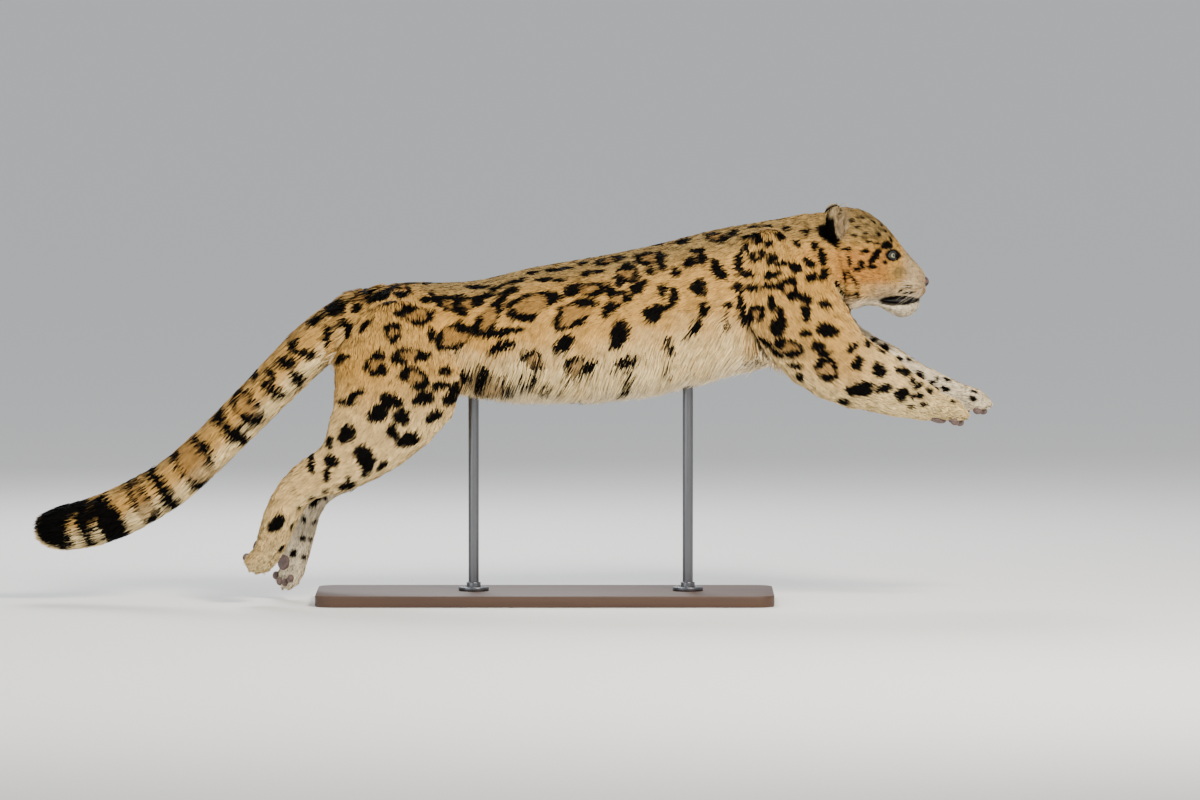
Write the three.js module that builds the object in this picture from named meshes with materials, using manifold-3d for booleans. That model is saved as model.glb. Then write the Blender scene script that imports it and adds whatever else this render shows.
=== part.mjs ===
// A leaping snow leopard, life size, held over a flat base by two short rods, as a museum shows one.
// Units are millimetres. +X points the way the animal leaps, +Y to its left, +Z up.
// The origin is the centre of the base's underside.
import * as THREE from "three";
import { mergeVertices } from "three/addons/utils/BufferGeometryUtils.js";
import Module from "manifold-3d";

const wasm = await Module();
wasm.setup();

// Driving dimensions
const GAP = 0.3; // between touching pieces
const BASE = { long: 960, wide: 340, thick: 24, corner: 40 };
const ROD = { radius: 11, flange: 32, flangeThick: 8, frontX: 300, rearX: -150, topZ: 540 };
const EYE = { at: [719, 39, 728], radius: 15, gaze: [0.78, 0.6, 0.18], wide: 13, high: 8.5, lid: 2.6 };
const NOSE = { at: [794, 0, 672], size: [9.5, 17, 12.5] };
const MOUTH = { fromX: 704, topZ: 642.5 };
// An ear is an ellipsoid hollowed by a smaller one set forward by shift. It faces open degrees outwards,
// and leans back and out.
const EAR_LEAN = { open: 22, back: 24, out: 24 };
const EAR = { at: [611, 72, 796], outer: [19, 28, 39], inner: [16, 22, 31], shift: 10 };
// What stands out of the head's sections on both sides: a centre and three half sizes
const CHEEK = { at: [655, 62, 668], size: [42, 28, 44] };
const BROW = { at: [720, 36, 750], size: [18, 17, 8] };
const WHISKER_PAD = { at: [776, 21, 664], size: [24, 21, 20] };
const NOSTRIL = { at: [802, 9, 669], size: [5.5, 4, 3.2] };
const LIP = {
  radius: 3,
  path: [
    [707, 50, 644],
    [726, 49, 645],
    [746, 44, 644.5],
    [766, 39, 644],
    [783, 31, 643.5],
    [795, 15, 645],
  ],
};
// A paw's length, width and thickness. It is set at a station of its leg and pushed forward along it.
const FOREPAW = { at: 8.7, forward: 4, long: 96, wide: 92, thick: 64, toeDrop: 0 };
const HINDPAW = { at: 10.6, forward: 0, long: 88, wide: 86, thick: 58, toeDrop: 0.04 };
// How finely the skins are drawn
const TRUNK_MESH = { sides: 20, steps: 22 };
const HEAD_MESH = { sides: 20, steps: 16 };
const JAW_MESH = { sides: 12, steps: 10 };
const FORELEG_MESH = { sides: 14, steps: 14 };
const HINDLEG_MESH = { sides: 14, steps: 18 };
const TAIL_MESH = { sides: 14, steps: 24 };

// The body's stations. Each row is [x, y, z, half width, half height above, half height below].
// The torso and the head have upright sections, and z is the height where the section is widest.
const TORSO = [
  [-398, 0, 612, 34, 30, 34],
  [-375, 0, 608, 70, 56, 66],
  [-304, 0, 598, 92, 82, 96],
  [-220, 0, 588, 93, 88, 106],
  [-140, 0, 582, 97, 98, 118],
  [-60, 0, 585, 105, 117, 133],
  [0, 0, 590, 111, 125, 142],
  [80, 0, 598, 118, 129, 150],
  [160, 0, 606, 121, 136, 154],
  [230, 0, 616, 121, 141, 154],
  [290, 0, 628, 119, 144, 152],
  [350, 0, 644, 114, 144, 152],
  [400, 0, 656, 110, 141, 150],
  [460, 0, 670, 104, 137, 150],
  [520, 0, 686, 98, 131, 148],
  [580, 0, 704, 91, 122, 140],
  [625, 0, 722, 84, 108, 132],
  [655, 0, 726, 66, 84, 118],
  [668, 0, 690, 34, 60, 74],
];
// The head adds how round the section is above and below: 2 is an ellipse, more is boxier.
const HEAD = [
  [572, 0, 728, 56, 66, 76, 2, 2],
  [592, 0, 722, 88, 106, 106, 2, 2],
  [620, 0, 712, 90, 121, 92, 2, 2.2],
  [645, 0, 701, 88, 130, 82, 2, 2.3],
  [672, 0, 694, 86, 131, 73, 2, 2.4],
  [698, 0, 690, 80, 119, 60, 2, 2.6],
  [718, 0, 686, 70, 106, 48, 2, 2.8],
  [735, 0, 681, 58, 90, 40, 1.9, 3],
  [750, 0, 676, 49, 74, 34, 2, 3.2],
  [765, 0, 671, 44, 60, 29, 2.2, 3.2],
  [780, 0, 667, 40, 48, 25, 2.3, 3.2],
  [792, 0, 665, 34, 36, 21, 2.4, 3],
  [800, 0, 666, 21, 22, 14, 2.4, 2.4],
];
const JAW = [
  [650, 0, 636, 30, 3, 6, 4, 2],
  [664, 0, 634, 44, 5, 10, 4, 2],
  [700, 0, 633, 46, 6, 14, 4, 2.2],
  [720, 0, 632, 42, 6, 25, 4, 2.2],
  [742, 0, 630, 37, 7, 34, 4, 2.2],
  [762, 0, 629, 32, 7, 31, 4, 2.2],
  [776, 0, 629, 27, 7, 22, 4, 2.2],
  [786, 0, 630, 18, 5, 12, 4, 2],
];
// A leg's sections lie across its line: above is its front and below is its back. The last number turns
// the section about the line, in degrees.
const FORELEG = [
  [452, 62, 784, 14, 30, 36, 0],
  [483, 78, 702, 36, 88, 86, 0],
  [519, 86, 625, 45, 104, 104, 0],
  [567, 87, 551, 47, 97, 98, 0],
  [624, 84, 501, 44, 82, 86, 0],
  [687, 80, 473, 41, 70, 74, 0],
  [731, 77, 450, 38, 58, 60, 0],
  [771, 74, 434, 36, 48, 49, 0],
  [808, 72, 420, 37, 40, 42, 0],
  [836, 71, 413, 34, 30, 30, 0],
];
const HINDLEG = [
  [-309, 52, 640, 34, 52, 56, 0],
  [-302, 58, 575, 54, 116, 120, 0],
  [-300, 62, 490, 57, 142, 150, 0],
  [-338, 66, 402, 50, 120, 122, 0],
  [-388, 69, 337, 43, 90, 86, 0],
  [-430, 71, 298, 37, 68, 58, 0],
  [-470, 73, 276, 34, 56, 48, 8],
  [-508, 74, 251, 38, 46, 44, 24],
  [-538, 75, 214, 44, 39, 39, 36],
  [-558, 75, 168, 45, 37, 37, 40],
  [-574, 74, 124, 42, 34, 34, 40],
  [-586, 73, 100, 34, 27, 27, 40],
];
// How far the hidden left legs differ from the right ones, from this station on: [station, dx, dz] a step.
const FAR_FORELEG = { from: 4, dx: 9, dz: 2 };
const FAR_HINDLEG = { from: 5, dx: 7.5, dz: -5.5, turn: 8 };

// The tail runs from its tip to its root.
const TAIL = [
  [-1078, 34, 150, 12, 12, 12],
  [-1068, 33, 150, 34, 32, 30],
  [-1040, 30, 151, 51, 48, 46],
  [-990, 24, 157, 57, 55, 54],
  [-911, 14, 178, 58, 57, 57],
  [-798, 2, 239, 54, 54, 54],
  [-733, -4, 293, 51, 51, 51],
  [-666, -7, 359, 50, 50, 50],
  [-559, -6, 467, 52, 53, 53],
  [-493, -3, 534, 54, 56, 56],
  [-428, 0, 588, 53, 56, 56],
  [-357, 0, 625, 46, 48, 50],
  [-294, 0, 636, 30, 32, 32],
];

// The long coat hangs in flat tapered locks. The core under them reaches about half way to their tips.
const LOCK = { thick: 8, sink: 12, seed: 7 };
const BELLY = { from: -165, to: 480, columns: 8, rows: 5, spread: 56, long: 96, wide: 80, hang: 0.42 };
const TAIL_COAT = { rings: 6, around: 5, long: 112, wide: 68, core: 12, flare: 0.12, from: 3.5 };

// Where the flesh is parted. Each cut is a point and the normal towards the animal's nose or the limb's tip.
const NECK_CUT = { at: [500, 0, 690], normal: [0.96, 0, 0.28] };
const HEAD_CUT = { at: [625, 0, 730], normal: [0.97, 0, 0.243] };
const FORELEG_CUTS = [5, 7.5]; // elbow and wrist, in stations along the leg
const HINDLEG_CUTS = [3.4, 6.3, 9.6]; // knee, hock and toes
const TAIL_CUTS = [4.6, 7.1, 9.3]; // counted from the tip

// Solids

// A closed three.js geometry as a solid.
function solid(geometry) {
  const bare = geometry.clone();
  bare.deleteAttribute("normal");
  bare.deleteAttribute("uv");
  const merged = mergeVertices(bare, 1e-3);
  const mesh = new wasm.Mesh({
    numProp: 3,
    vertProperties: merged.attributes.position.array,
    triVerts: new Uint32Array(merged.index.array),
  });
  return new wasm.Manifold(mesh);
}

// The largest closed surface of a solid, with loose scraps dropped and sealed hollows filled.
function largest(body) {
  const bodies = body.decompose();
  return bodies.reduce((a, b) => (b.volume() > a.volume() ? b : a));
}

function join(bodies) {
  return bodies.reduce((a, b) => a.add(b));
}

// A solid as a named mesh.
function named(name, body, material) {
  const kept = largest(body).getMesh();
  const points = new Float32Array(kept.numVert * 3);
  for (let i = 0; i < kept.numVert; i++)
    points.set(kept.vertProperties.subarray(i * kept.numProp, i * kept.numProp + 3), i * 3);
  const geometry = new THREE.BufferGeometry();
  geometry.setAttribute("position", new THREE.BufferAttribute(points, 3));
  geometry.setIndex(new THREE.BufferAttribute(kept.triVerts, 1));
  geometry.computeVertexNormals();
  const mesh = new THREE.Mesh(geometry, material);
  mesh.name = name;
  return mesh;
}

const signedPower = (v, p) => Math.sign(v) * Math.abs(v) ** p;

// A smooth line of stations: at(t) gives the section at station t, between the rows that were given.
function line(rows, upright = false) {
  const last = rows.length - 1;
  const curve = (first) => {
    const points = rows.map((row) => new THREE.Vector3(row[first], row[first + 1], row[first + 2]));
    return new THREE.CatmullRomCurve3(points, false, "catmullrom");
  };
  const path = curve(0);
  const size = curve(3);
  const between = (t, column, fallback) => {
    const i = Math.min(Math.floor(t), last - 1);
    const a = rows[i][column] ?? fallback;
    const b = rows[i + 1][column] ?? fallback;
    return a + (b - a) * (t - i);
  };
  const at = (t) => {
    const centre = path.getPoint(t / last);
    const along = upright ? new THREE.Vector3(1, 0, 0) : path.getTangent(t / last);
    const across = new THREE.Vector3(0, 1, 0).addScaledVector(along, -along.y).normalize();
    const above = new THREE.Vector3().crossVectors(along, across);
    const turn = upright ? 0 : THREE.MathUtils.degToRad(between(t, 6, 0));
    across.applyAxisAngle(along, turn);
    above.applyAxisAngle(along, turn);
    const s = size.getPoint(t / last);
    const square = upright ? [between(t, 6, 2), between(t, 7, 2)] : [2, 2];
    return { centre, along, across, above, wide: s.x, up: s.y, down: s.z, square };
  };
  return { at, last };
}

// The point of a section at an angle from its top, grown outwards by a margin.
function onSection(section, angle, grow = 0) {
  const { centre, across, above, wide, up, down, square } = section;
  const c = Math.cos(angle);
  const power = 2 / (c >= 0 ? square[0] : square[1]);
  const high = (c >= 0 ? up : down) + grow;
  return centre
    .clone()
    .addScaledVector(across, (wide + grow) * signedPower(Math.sin(angle), power))
    .addScaledVector(above, high * signedPower(c, power));
}

// The skin over a line's sections as one closed solid, with a point a little beyond each end.
function skin(body, { sides, steps, grow = 0, cap = 4 }) {
  const points = [];
  const faces = [];
  for (let i = 0; i <= steps; i++) {
    const section = body.at((i / steps) * body.last);
    for (let j = 0; j < sides; j++) {
      points.push(onSection(section, (2 * Math.PI * j) / sides, grow));
    }
  }
  const ends = [
    [0, -1],
    [body.last, 1],
  ].map(([t, way]) => {
    const section = body.at(t);
    return section.centre.clone().addScaledVector(section.along, way * (cap + grow));
  });
  const [tail, nose] = [points.length, points.length + 1];
  points.push(...ends);
  for (let j = 0; j < sides; j++) {
    const k = (j + 1) % sides;
    for (let i = 0; i < steps; i++) {
      const [a, b] = [i * sides + j, i * sides + k];
      const [c, d] = [a + sides, b + sides];
      faces.push(a, c, b, b, c, d);
    }
    faces.push(tail, j, k);
    faces.push(nose, steps * sides + k, steps * sides + j);
  }
  const geometry = new THREE.BufferGeometry().setFromPoints(points);
  geometry.setIndex(faces);
  const made = solid(geometry);
  if (made.volume() >= 0) return made;
  geometry.setIndex(faces.reverse());
  return solid(geometry);
}

// An ellipsoid of three half sizes in a frame of its own.
function ellipsoid(place, radii, around = 10, high = 6) {
  const geometry = new THREE.SphereGeometry(1, around, high);
  geometry.scale(...radii);
  geometry.applyMatrix4(place);
  return solid(geometry);
}

// A steady stream of numbers from 0 to 1.
function seeded(seed) {
  let state = seed;
  return () => {
    state = (state * 1664525 + 1013904223) % 4294967296;
    return state / 4294967296;
  };
}

// One lock of hair: a flat blade from its root along the lie of the coat, bending outwards to its tip.
function lock(root, along, outward, { long, wide, bend }) {
  const lie = along.clone().normalize();
  const flat = new THREE.Vector3().crossVectors(lie, outward).normalize();
  const up = new THREE.Vector3().crossVectors(flat, lie);
  // Shares of the lock's length, width and thickness at three places along it
  const shape = [
    [0, 0.42, 0.5],
    [0.42, 0.5, 0.42],
    [0.78, 0.3, 0.25],
  ];
  const points = [];
  const spot = (t) =>
    root
      .clone()
      .addScaledVector(lie, long * t)
      .addScaledVector(up, bend * t * t);
  for (const [t, breadth, depth] of shape) {
    for (const [w, d] of [
      [1, 0],
      [0, 1],
      [-1, 0],
      [0, -1],
    ]) {
      const aside = spot(t).addScaledVector(flat, w * breadth * wide);
      points.push(aside.addScaledVector(up, d * depth * LOCK.thick));
    }
  }
  points.push(spot(1));
  const faces = [0, 1, 2, 0, 2, 3];
  for (let j = 0; j < 4; j++) {
    const k = (j + 1) % 4;
    for (const i of [0, 4]) faces.push(i + j, i + j + 4, i + k, i + k, i + j + 4, i + k + 4);
    faces.push(8 + j, 12, 8 + k);
  }
  const geometry = new THREE.BufferGeometry().setFromPoints(points);
  geometry.setIndex(faces);
  const made = solid(geometry);
  if (made.volume() >= 0) return made;
  geometry.setIndex(faces.reverse());
  return solid(geometry);
}

const moved = (x, y, z) => new THREE.Matrix4().makeTranslation(x, y, z);

// The part of a body before or beyond a cut.
function beyond(body, cut) {
  const normal = new THREE.Vector3(...cut.normal).normalize();
  return body.trimByPlane(normal.toArray(), normal.dot(new THREE.Vector3(...cut.at)) + GAP / 2);
}
function before(body, cut) {
  const normal = new THREE.Vector3(...cut.normal).normalize().negate();
  return body.trimByPlane(normal.toArray(), normal.dot(new THREE.Vector3(...cut.at)) + GAP / 2);
}

// A cut across a line at station t.
function across(body, t) {
  const section = body.at(t);
  return { at: section.centre.toArray(), normal: section.along.toArray() };
}

// A line's solid parted across at the stations given.
function parted(body, whole, stations) {
  const cuts = stations.map((t) => across(body, t));
  return [...cuts, null].map((next, i) => {
    const from = i ? beyond(whole, cuts[i - 1]) : whole;
    return next ? before(from, next) : from;
  });
}

// Colours as the photo shows them
const coat = new THREE.MeshStandardMaterial({ color: 0xc8aa78, roughness: 0.9 });
const paleCoat = new THREE.MeshStandardMaterial({ color: 0xd8c8a8, roughness: 0.9 });
const earCoat = new THREE.MeshStandardMaterial({ color: 0x3a3028, roughness: 0.9 });
const leather = new THREE.MeshStandardMaterial({ color: 0x6e4a42, roughness: 0.6 });
const eyeball = new THREE.MeshStandardMaterial({ color: 0xa9a878, roughness: 0.1 });
const oak = new THREE.MeshStandardMaterial({ color: 0x4a3526, roughness: 0.5 });
const steel = new THREE.MeshStandardMaterial({ color: 0x55565a, roughness: 0.35, metalness: 1 });

const leopard = new THREE.Group();
const add = (name, body, material) => leopard.add(named(name, body, material));

// The trunk's shape, which the legs and the tail are cut to
const torsoLine = line(TORSO, true);
const trunk = skin(torsoLine, TRUNK_MESH);
const grownTrunk = skin(torsoLine, { ...TRUNK_MESH, grow: GAP });

// Legs. The right ones are nearer in the photo, and the left ones mirror them with their own reach.
function legRows(rows, side, far) {
  return rows.map((row, i) => {
    const steps = side > 0 ? Math.max(0, i - far.from + 1) : 0;
    const [x, y, z, wide, up, down, turn] = row;
    const turned = side > 0 ? turn - (turn ? (far.turn ?? 0) : 0) : turn;
    return [x + steps * far.dx, side * y, z + steps * far.dz, wide, up, down, side * -turned];
  });
}

// A paw in its own frame: +X to the toes, +Y across, +Z its back. Toes, and pads under them, stand out.
function paw(place, { long, wide, thick, toeDrop }) {
  const pieces = [ellipsoid(moved(0, 0, 0), [long * 0.56, wide * 0.5, thick * 0.5], 12, 7)];
  const toes = [-0.36, -0.13, 0.13, 0.36];
  toes.forEach((across) => {
    const reach = long * (Math.abs(across) < 0.2 ? 0.42 : 0.3);
    const toe = moved(reach, across * wide, -thick * (0.1 + toeDrop));
    toe.multiply(new THREE.Matrix4().makeRotationZ(across * 0.5));
    pieces.push(ellipsoid(toe, [long * 0.27, wide * 0.15, thick * 0.35], 8, 5));
  });
  pieces.push(ellipsoid(moved(-long * 0.04, 0, -thick * 0.4), [long * 0.2, wide * 0.27, thick * 0.17], 8, 4));
  const made = join(pieces);
  return made.transform(place.toArray());
}

// The frame of a limb's end, set a little further along it.
function endFrame(body, { at, forward }) {
  const s = body.at(at);
  const x = s.along.clone();
  const z = s.above.clone();
  const y = new THREE.Vector3().crossVectors(z, x);
  return new THREE.Matrix4().makeBasis(x, y, z).setPosition(s.centre.clone().addScaledVector(x, forward));
}

const SIDES = [
  [-1, "right"],
  [1, "left"],
];
const grownLegs = [];
for (const [side, word] of SIDES) {
  const fore = line(legRows(FORELEG, side, FAR_FORELEG));
  const foreWhole = skin(fore, FORELEG_MESH).subtract(grownTrunk);
  const [upperArm, forearm, wrist] = parted(fore, foreWhole, FORELEG_CUTS);
  const forePaw = paw(endFrame(fore, FOREPAW), FOREPAW);
  const foreCut = across(fore, FORELEG_CUTS[1]);
  add(`foreleg_upper_${word}`, upperArm, coat);
  add(`foreleg_lower_${word}`, forearm, coat);
  add(`forepaw_${word}`, wrist.add(beyond(forePaw, foreCut)), paleCoat);

  const hind = line(legRows(HINDLEG, side, FAR_HINDLEG));
  const hindWhole = skin(hind, HINDLEG_MESH).subtract(grownTrunk);
  const [thigh, shank, foot, toes] = parted(hind, hindWhole, HINDLEG_CUTS);
  const hindPaw = paw(endFrame(hind, HINDPAW), HINDPAW);
  const hindCut = across(hind, HINDLEG_CUTS[2]);
  add(`thigh_${word}`, thigh, coat);
  add(`shank_${word}`, shank, coat);
  add(`hindfoot_${word}`, foot, paleCoat);
  add(`hindpaw_${word}`, toes.add(beyond(hindPaw, hindCut)), paleCoat);

  grownLegs.push(skin(fore, { ...FORELEG_MESH, grow: GAP }));
  grownLegs.push(skin(hind, { ...HINDLEG_MESH, grow: GAP }));
}
const allGrownLegs = join(grownLegs);

// The trunk, with the locks that hang under it
function hangingLocks({ from, to, columns, rows, spread, long, wide, hang }) {
  const random = seeded(LOCK.seed);
  const locks = [];
  for (let i = 0; i < columns; i++) {
    for (let j = 0; j < rows; j++) {
      const x = from + ((to - from) * (i + (j % 2) * 0.5 + 0.3 * random())) / columns;
      const swing = ((j + 0.5) / rows) * 2 - 1;
      const angle = Math.PI + THREE.MathUtils.degToRad(spread) * (swing + 0.12 * (random() - 0.5));
      const section = trunkAt(x);
      const surface = onSection(section, angle);
      const outward = surface.clone().sub(section.centre).setX(0).normalize();
      const flare = hang * (1 - 0.55 * Math.abs(swing)) * (0.85 + 0.3 * random());
      const lie = new THREE.Vector3(-1, 0, -0.16).addScaledVector(outward, flare);
      const size = { long: long * (0.85 + 0.3 * random()), wide: wide * (0.8 + 0.3 * random()), bend: -4 };
      locks.push(lock(surface.addScaledVector(outward, -LOCK.sink), lie, outward, size));
    }
  }
  return join(locks);
}

// The trunk's section at a distance along the body.
function trunkAt(x) {
  const wanted = TORSO.findIndex((row) => row[0] > x);
  const [a, b] = [TORSO[wanted - 1][0], TORSO[wanted][0]];
  return torsoLine.at(wanted - 1 + (x - a) / (b - a));
}

function rod(x, grow) {
  const [foot, top] = [BASE.thick + GAP, ROD.topZ + grow];
  const geometry = new THREE.CylinderGeometry(ROD.radius + grow, ROD.radius + grow, top - foot, 16);
  geometry.rotateX(Math.PI / 2);
  geometry.translate(x, 0, (foot + top) / 2);
  return solid(geometry);
}
const sockets = join([rod(ROD.frontX, GAP), rod(ROD.rearX, GAP)]);
const belly = hangingLocks(BELLY).subtract(allGrownLegs);
add("torso", before(trunk.add(belly), NECK_CUT).subtract(sockets), coat);

// Head
const headLine = line(HEAD, true);
const jawLine = line(JAW, true);
const bothSides = (make) => join([make(1), make(-1)]);

function bulge({ at: [x, y, z], size }, grow) {
  const radii = size.map((radius) => radius + grow);
  return bothSides((side) => ellipsoid(moved(x, side * y, z), radii));
}

function headShape(grow) {
  const bulges = [CHEEK, BROW, WHISKER_PAD].map((shape) => bulge(shape, grow));
  return join([skin(headLine, { ...HEAD_MESH, grow }), ...bulges]);
}

// The frame of one eye: x across it, y up it and z out along its gaze.
function eyeFrame(side) {
  const gaze = new THREE.Vector3(EYE.gaze[0], side * EYE.gaze[1], EYE.gaze[2]).normalize();
  const across = new THREE.Vector3(0, 0, 1).cross(gaze).normalize();
  const above = new THREE.Vector3().crossVectors(gaze, across);
  const [x, y, z] = EYE.at;
  return new THREE.Matrix4().makeBasis(across, above, gaze).setPosition(x, side * y, z);
}
const eye = (side, grow) => ellipsoid(eyeFrame(side), Array(3).fill(EYE.radius + grow), 12, 8);
const orbit = (side) =>
  ellipsoid(eyeFrame(side).multiply(moved(0, 0, EYE.radius + 5)), [EYE.wide, EYE.high, 12], 16, 10);

// A tube through points, as a closed solid.
function tube(points, radius, steps, closed, around = 7) {
  const curve = new THREE.CatmullRomCurve3(points, closed);
  if (closed) return solid(new THREE.TubeGeometry(curve, steps, radius, around, true));
  const rows = points.map((p) => [p.x, p.y, p.z, radius, radius, radius]);
  return skin(line(rows), { sides: around, steps, cap: radius * 0.6 });
}

// The two lids as one rim, resting on the eyeball.
function lids(side) {
  const points = [];
  for (let i = 0; i < 14; i++) {
    const angle = (2 * Math.PI * i) / 14;
    const [x, y] = [EYE.wide * Math.cos(angle), EYE.high * Math.sin(angle)];
    const out = Math.sqrt(Math.max((EYE.radius + 1.5) ** 2 - x * x - y * y, 36));
    points.push(new THREE.Vector3(x, y, out).applyMatrix4(eyeFrame(side)));
  }
  return tube(points, EYE.lid, 14, true, 5);
}

// The upper lip runs from under the nose back along the mouth.
function upperLip(side) {
  const points = LIP.path.map(([x, y, z]) => new THREE.Vector3(x, side * y, z));
  return tube(points, LIP.radius, 9, false, 5);
}

const nostrils = bulge(NOSTRIL, 0);
const nosePad = (grow) => ellipsoid(moved(...NOSE.at), NOSE.size.map((r) => r + grow), 10, 7);
const mouthBox = new THREE.BoxGeometry(200, 200, 100).translate(MOUTH.fromX + 100, 0, MOUTH.topZ - 50);
const head = join([headShape(0), bothSides(lids), bothSides(upperLip)])
  .subtract(bothSides(orbit))
  .add(bothSides(lids))
  .subtract(bothSides((side) => eye(side, GAP)))
  .subtract(nosePad(GAP))
  .subtract(nostrils)
  .subtract(solid(mouthBox))
  .subtract(skin(jawLine, { ...JAW_MESH, grow: GAP }));
const headNeck = { ...HEAD_CUT, at: [HEAD_CUT.at[0] - GAP, 0, HEAD_CUT.at[2]] };
const grownHead = beyond(headShape(GAP), headNeck).add(skin(jawLine, { ...JAW_MESH, grow: GAP }));
add("neck", beyond(trunk, NECK_CUT).subtract(grownHead), coat);
add("head", beyond(head, HEAD_CUT), coat);
add("jaw", skin(jawLine, JAW_MESH), paleCoat);
add("nose", nosePad(0).subtract(nostrils), leather);
for (const [side, word] of SIDES) {
  add(`eye_${word}`, eye(side, 0), eyeball);
  add(`ear_${word}`, ear(side), earCoat);
}

// An ear is a rounded cup, turned outwards and leant back.
function ear(side) {
  const [open, back, out] = [EAR_LEAN.open, EAR_LEAN.back, EAR_LEAN.out].map(THREE.MathUtils.degToRad);
  const facing = new THREE.Vector3(Math.cos(open), side * Math.sin(open), 0);
  const rise = new THREE.Vector3(-Math.sin(back), side * Math.sin(out), Math.cos(back) * Math.cos(out));
  const wide = new THREE.Vector3().crossVectors(rise, facing).normalize();
  rise.crossVectors(facing, wide);
  const frame = new THREE.Matrix4().makeBasis(facing, wide, rise);
  frame.setPosition(EAR.at[0], side * EAR.at[1], EAR.at[2]);
  const cup = ellipsoid(frame.clone().multiply(moved(EAR.shift, 0, 1)), EAR.inner, 10, 6);
  return ellipsoid(frame, EAR.outer, 12, 7).subtract(cup).subtract(headShape(GAP)).subtract(grownTrunk);
}

// Tail, in four lengths
const tailCore = TAIL.map(([x, y, z, wide, up, down]) => {
  const thin = (radius) => Math.max(radius - TAIL_COAT.core, 0.6 * radius);
  return [x, y, z, thin(wide), thin(up), thin(down)];
});
tailCore[0][0] += TAIL_COAT.core / 2;
const tailLine = line(TAIL);
const coreLine = line(tailCore);

function tailLocks() {
  const random = seeded(LOCK.seed);
  const locks = [];
  for (let i = 0; i < TAIL_COAT.rings; i++) {
    const station = TAIL_COAT.from + ((coreLine.last - TAIL_COAT.from - 0.8) * i) / (TAIL_COAT.rings - 1);
    const open = Math.min(i / 2, 1);
    for (let j = 0; j < TAIL_COAT.around; j++) {
      const angle = (2 * Math.PI * (j + (i % 2) * 0.5 + 0.25 * random())) / TAIL_COAT.around;
      const section = coreLine.at(station - 0.3 * random());
      const surface = onSection(section, angle);
      const outward = surface.clone().sub(section.centre).normalize();
      const flare = TAIL_COAT.flare * (0.8 + 0.4 * random());
      const lie = section.along.clone().negate().addScaledVector(outward, flare);
      const long = TAIL_COAT.long * (0.85 + 0.3 * random());
      const size = { long, wide: TAIL_COAT.wide, bend: 10 * open - 16 };
      locks.push(lock(surface.addScaledVector(outward, -LOCK.sink), lie, outward, size));
    }
  }
  return join(locks);
}

const tailWhole = skin(coreLine, TAIL_MESH)
  .add(tailLocks())
  .subtract(grownTrunk)
  .subtract(allGrownLegs);
parted(tailLine, tailWhole, TAIL_CUTS).forEach((length, i) => {
  add(["tail_tip", "tail_lower", "tail_upper", "tail_root"][i], length, coat);
});

// Stand
const corner = BASE.corner;
const [halfLong, halfWide] = [BASE.long / 2, BASE.wide / 2];
const outline = new THREE.Shape();
outline.absarc(halfLong - corner, halfWide - corner, corner, 0, Math.PI / 2);
outline.absarc(corner - halfLong, halfWide - corner, corner, Math.PI / 2, Math.PI);
outline.absarc(corner - halfLong, corner - halfWide, corner, Math.PI, 1.5 * Math.PI);
outline.absarc(halfLong - corner, corner - halfWide, corner, 1.5 * Math.PI, 2 * Math.PI);
const base = new THREE.ExtrudeGeometry(outline, { depth: BASE.thick, bevelEnabled: false, curveSegments: 4 });
add("stand_base", solid(base), oak);
for (const [x, word] of [
  [ROD.frontX, "front"],
  [ROD.rearX, "rear"],
]) {
  const flange = new THREE.CylinderGeometry(ROD.flange, ROD.flange, ROD.flangeThick, 20);
  flange.rotateX(Math.PI / 2);
  flange.translate(x, 0, BASE.thick + GAP + ROD.flangeThick / 2);
  add(`stand_rod_${word}`, rod(x, 0).add(solid(flange)), steel);
}

export default leopard;
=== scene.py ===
"""The finished looks of a leaping snow leopard on a plain display stand.

Lengths are metres. +X is the way the animal leaps, +Y its left, +Z up.
"""

import math

import bpy
import numpy as np
from mathutils import Matrix, Quaternion, Vector
from mathutils.bvhtree import BVHTree


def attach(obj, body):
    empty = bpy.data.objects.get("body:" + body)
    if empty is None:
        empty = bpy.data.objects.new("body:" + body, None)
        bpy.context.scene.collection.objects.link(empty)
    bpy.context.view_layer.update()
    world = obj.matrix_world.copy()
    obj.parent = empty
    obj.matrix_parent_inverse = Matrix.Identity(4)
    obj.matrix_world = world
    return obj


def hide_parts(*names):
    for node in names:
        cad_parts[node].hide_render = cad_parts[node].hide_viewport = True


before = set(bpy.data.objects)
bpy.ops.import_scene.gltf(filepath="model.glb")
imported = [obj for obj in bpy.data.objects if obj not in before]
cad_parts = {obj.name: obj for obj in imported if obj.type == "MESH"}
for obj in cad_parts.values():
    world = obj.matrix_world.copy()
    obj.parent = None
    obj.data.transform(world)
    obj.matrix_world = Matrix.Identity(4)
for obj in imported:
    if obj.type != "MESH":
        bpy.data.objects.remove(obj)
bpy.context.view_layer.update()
rng = np.random.default_rng(11)
MM = 0.001

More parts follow.
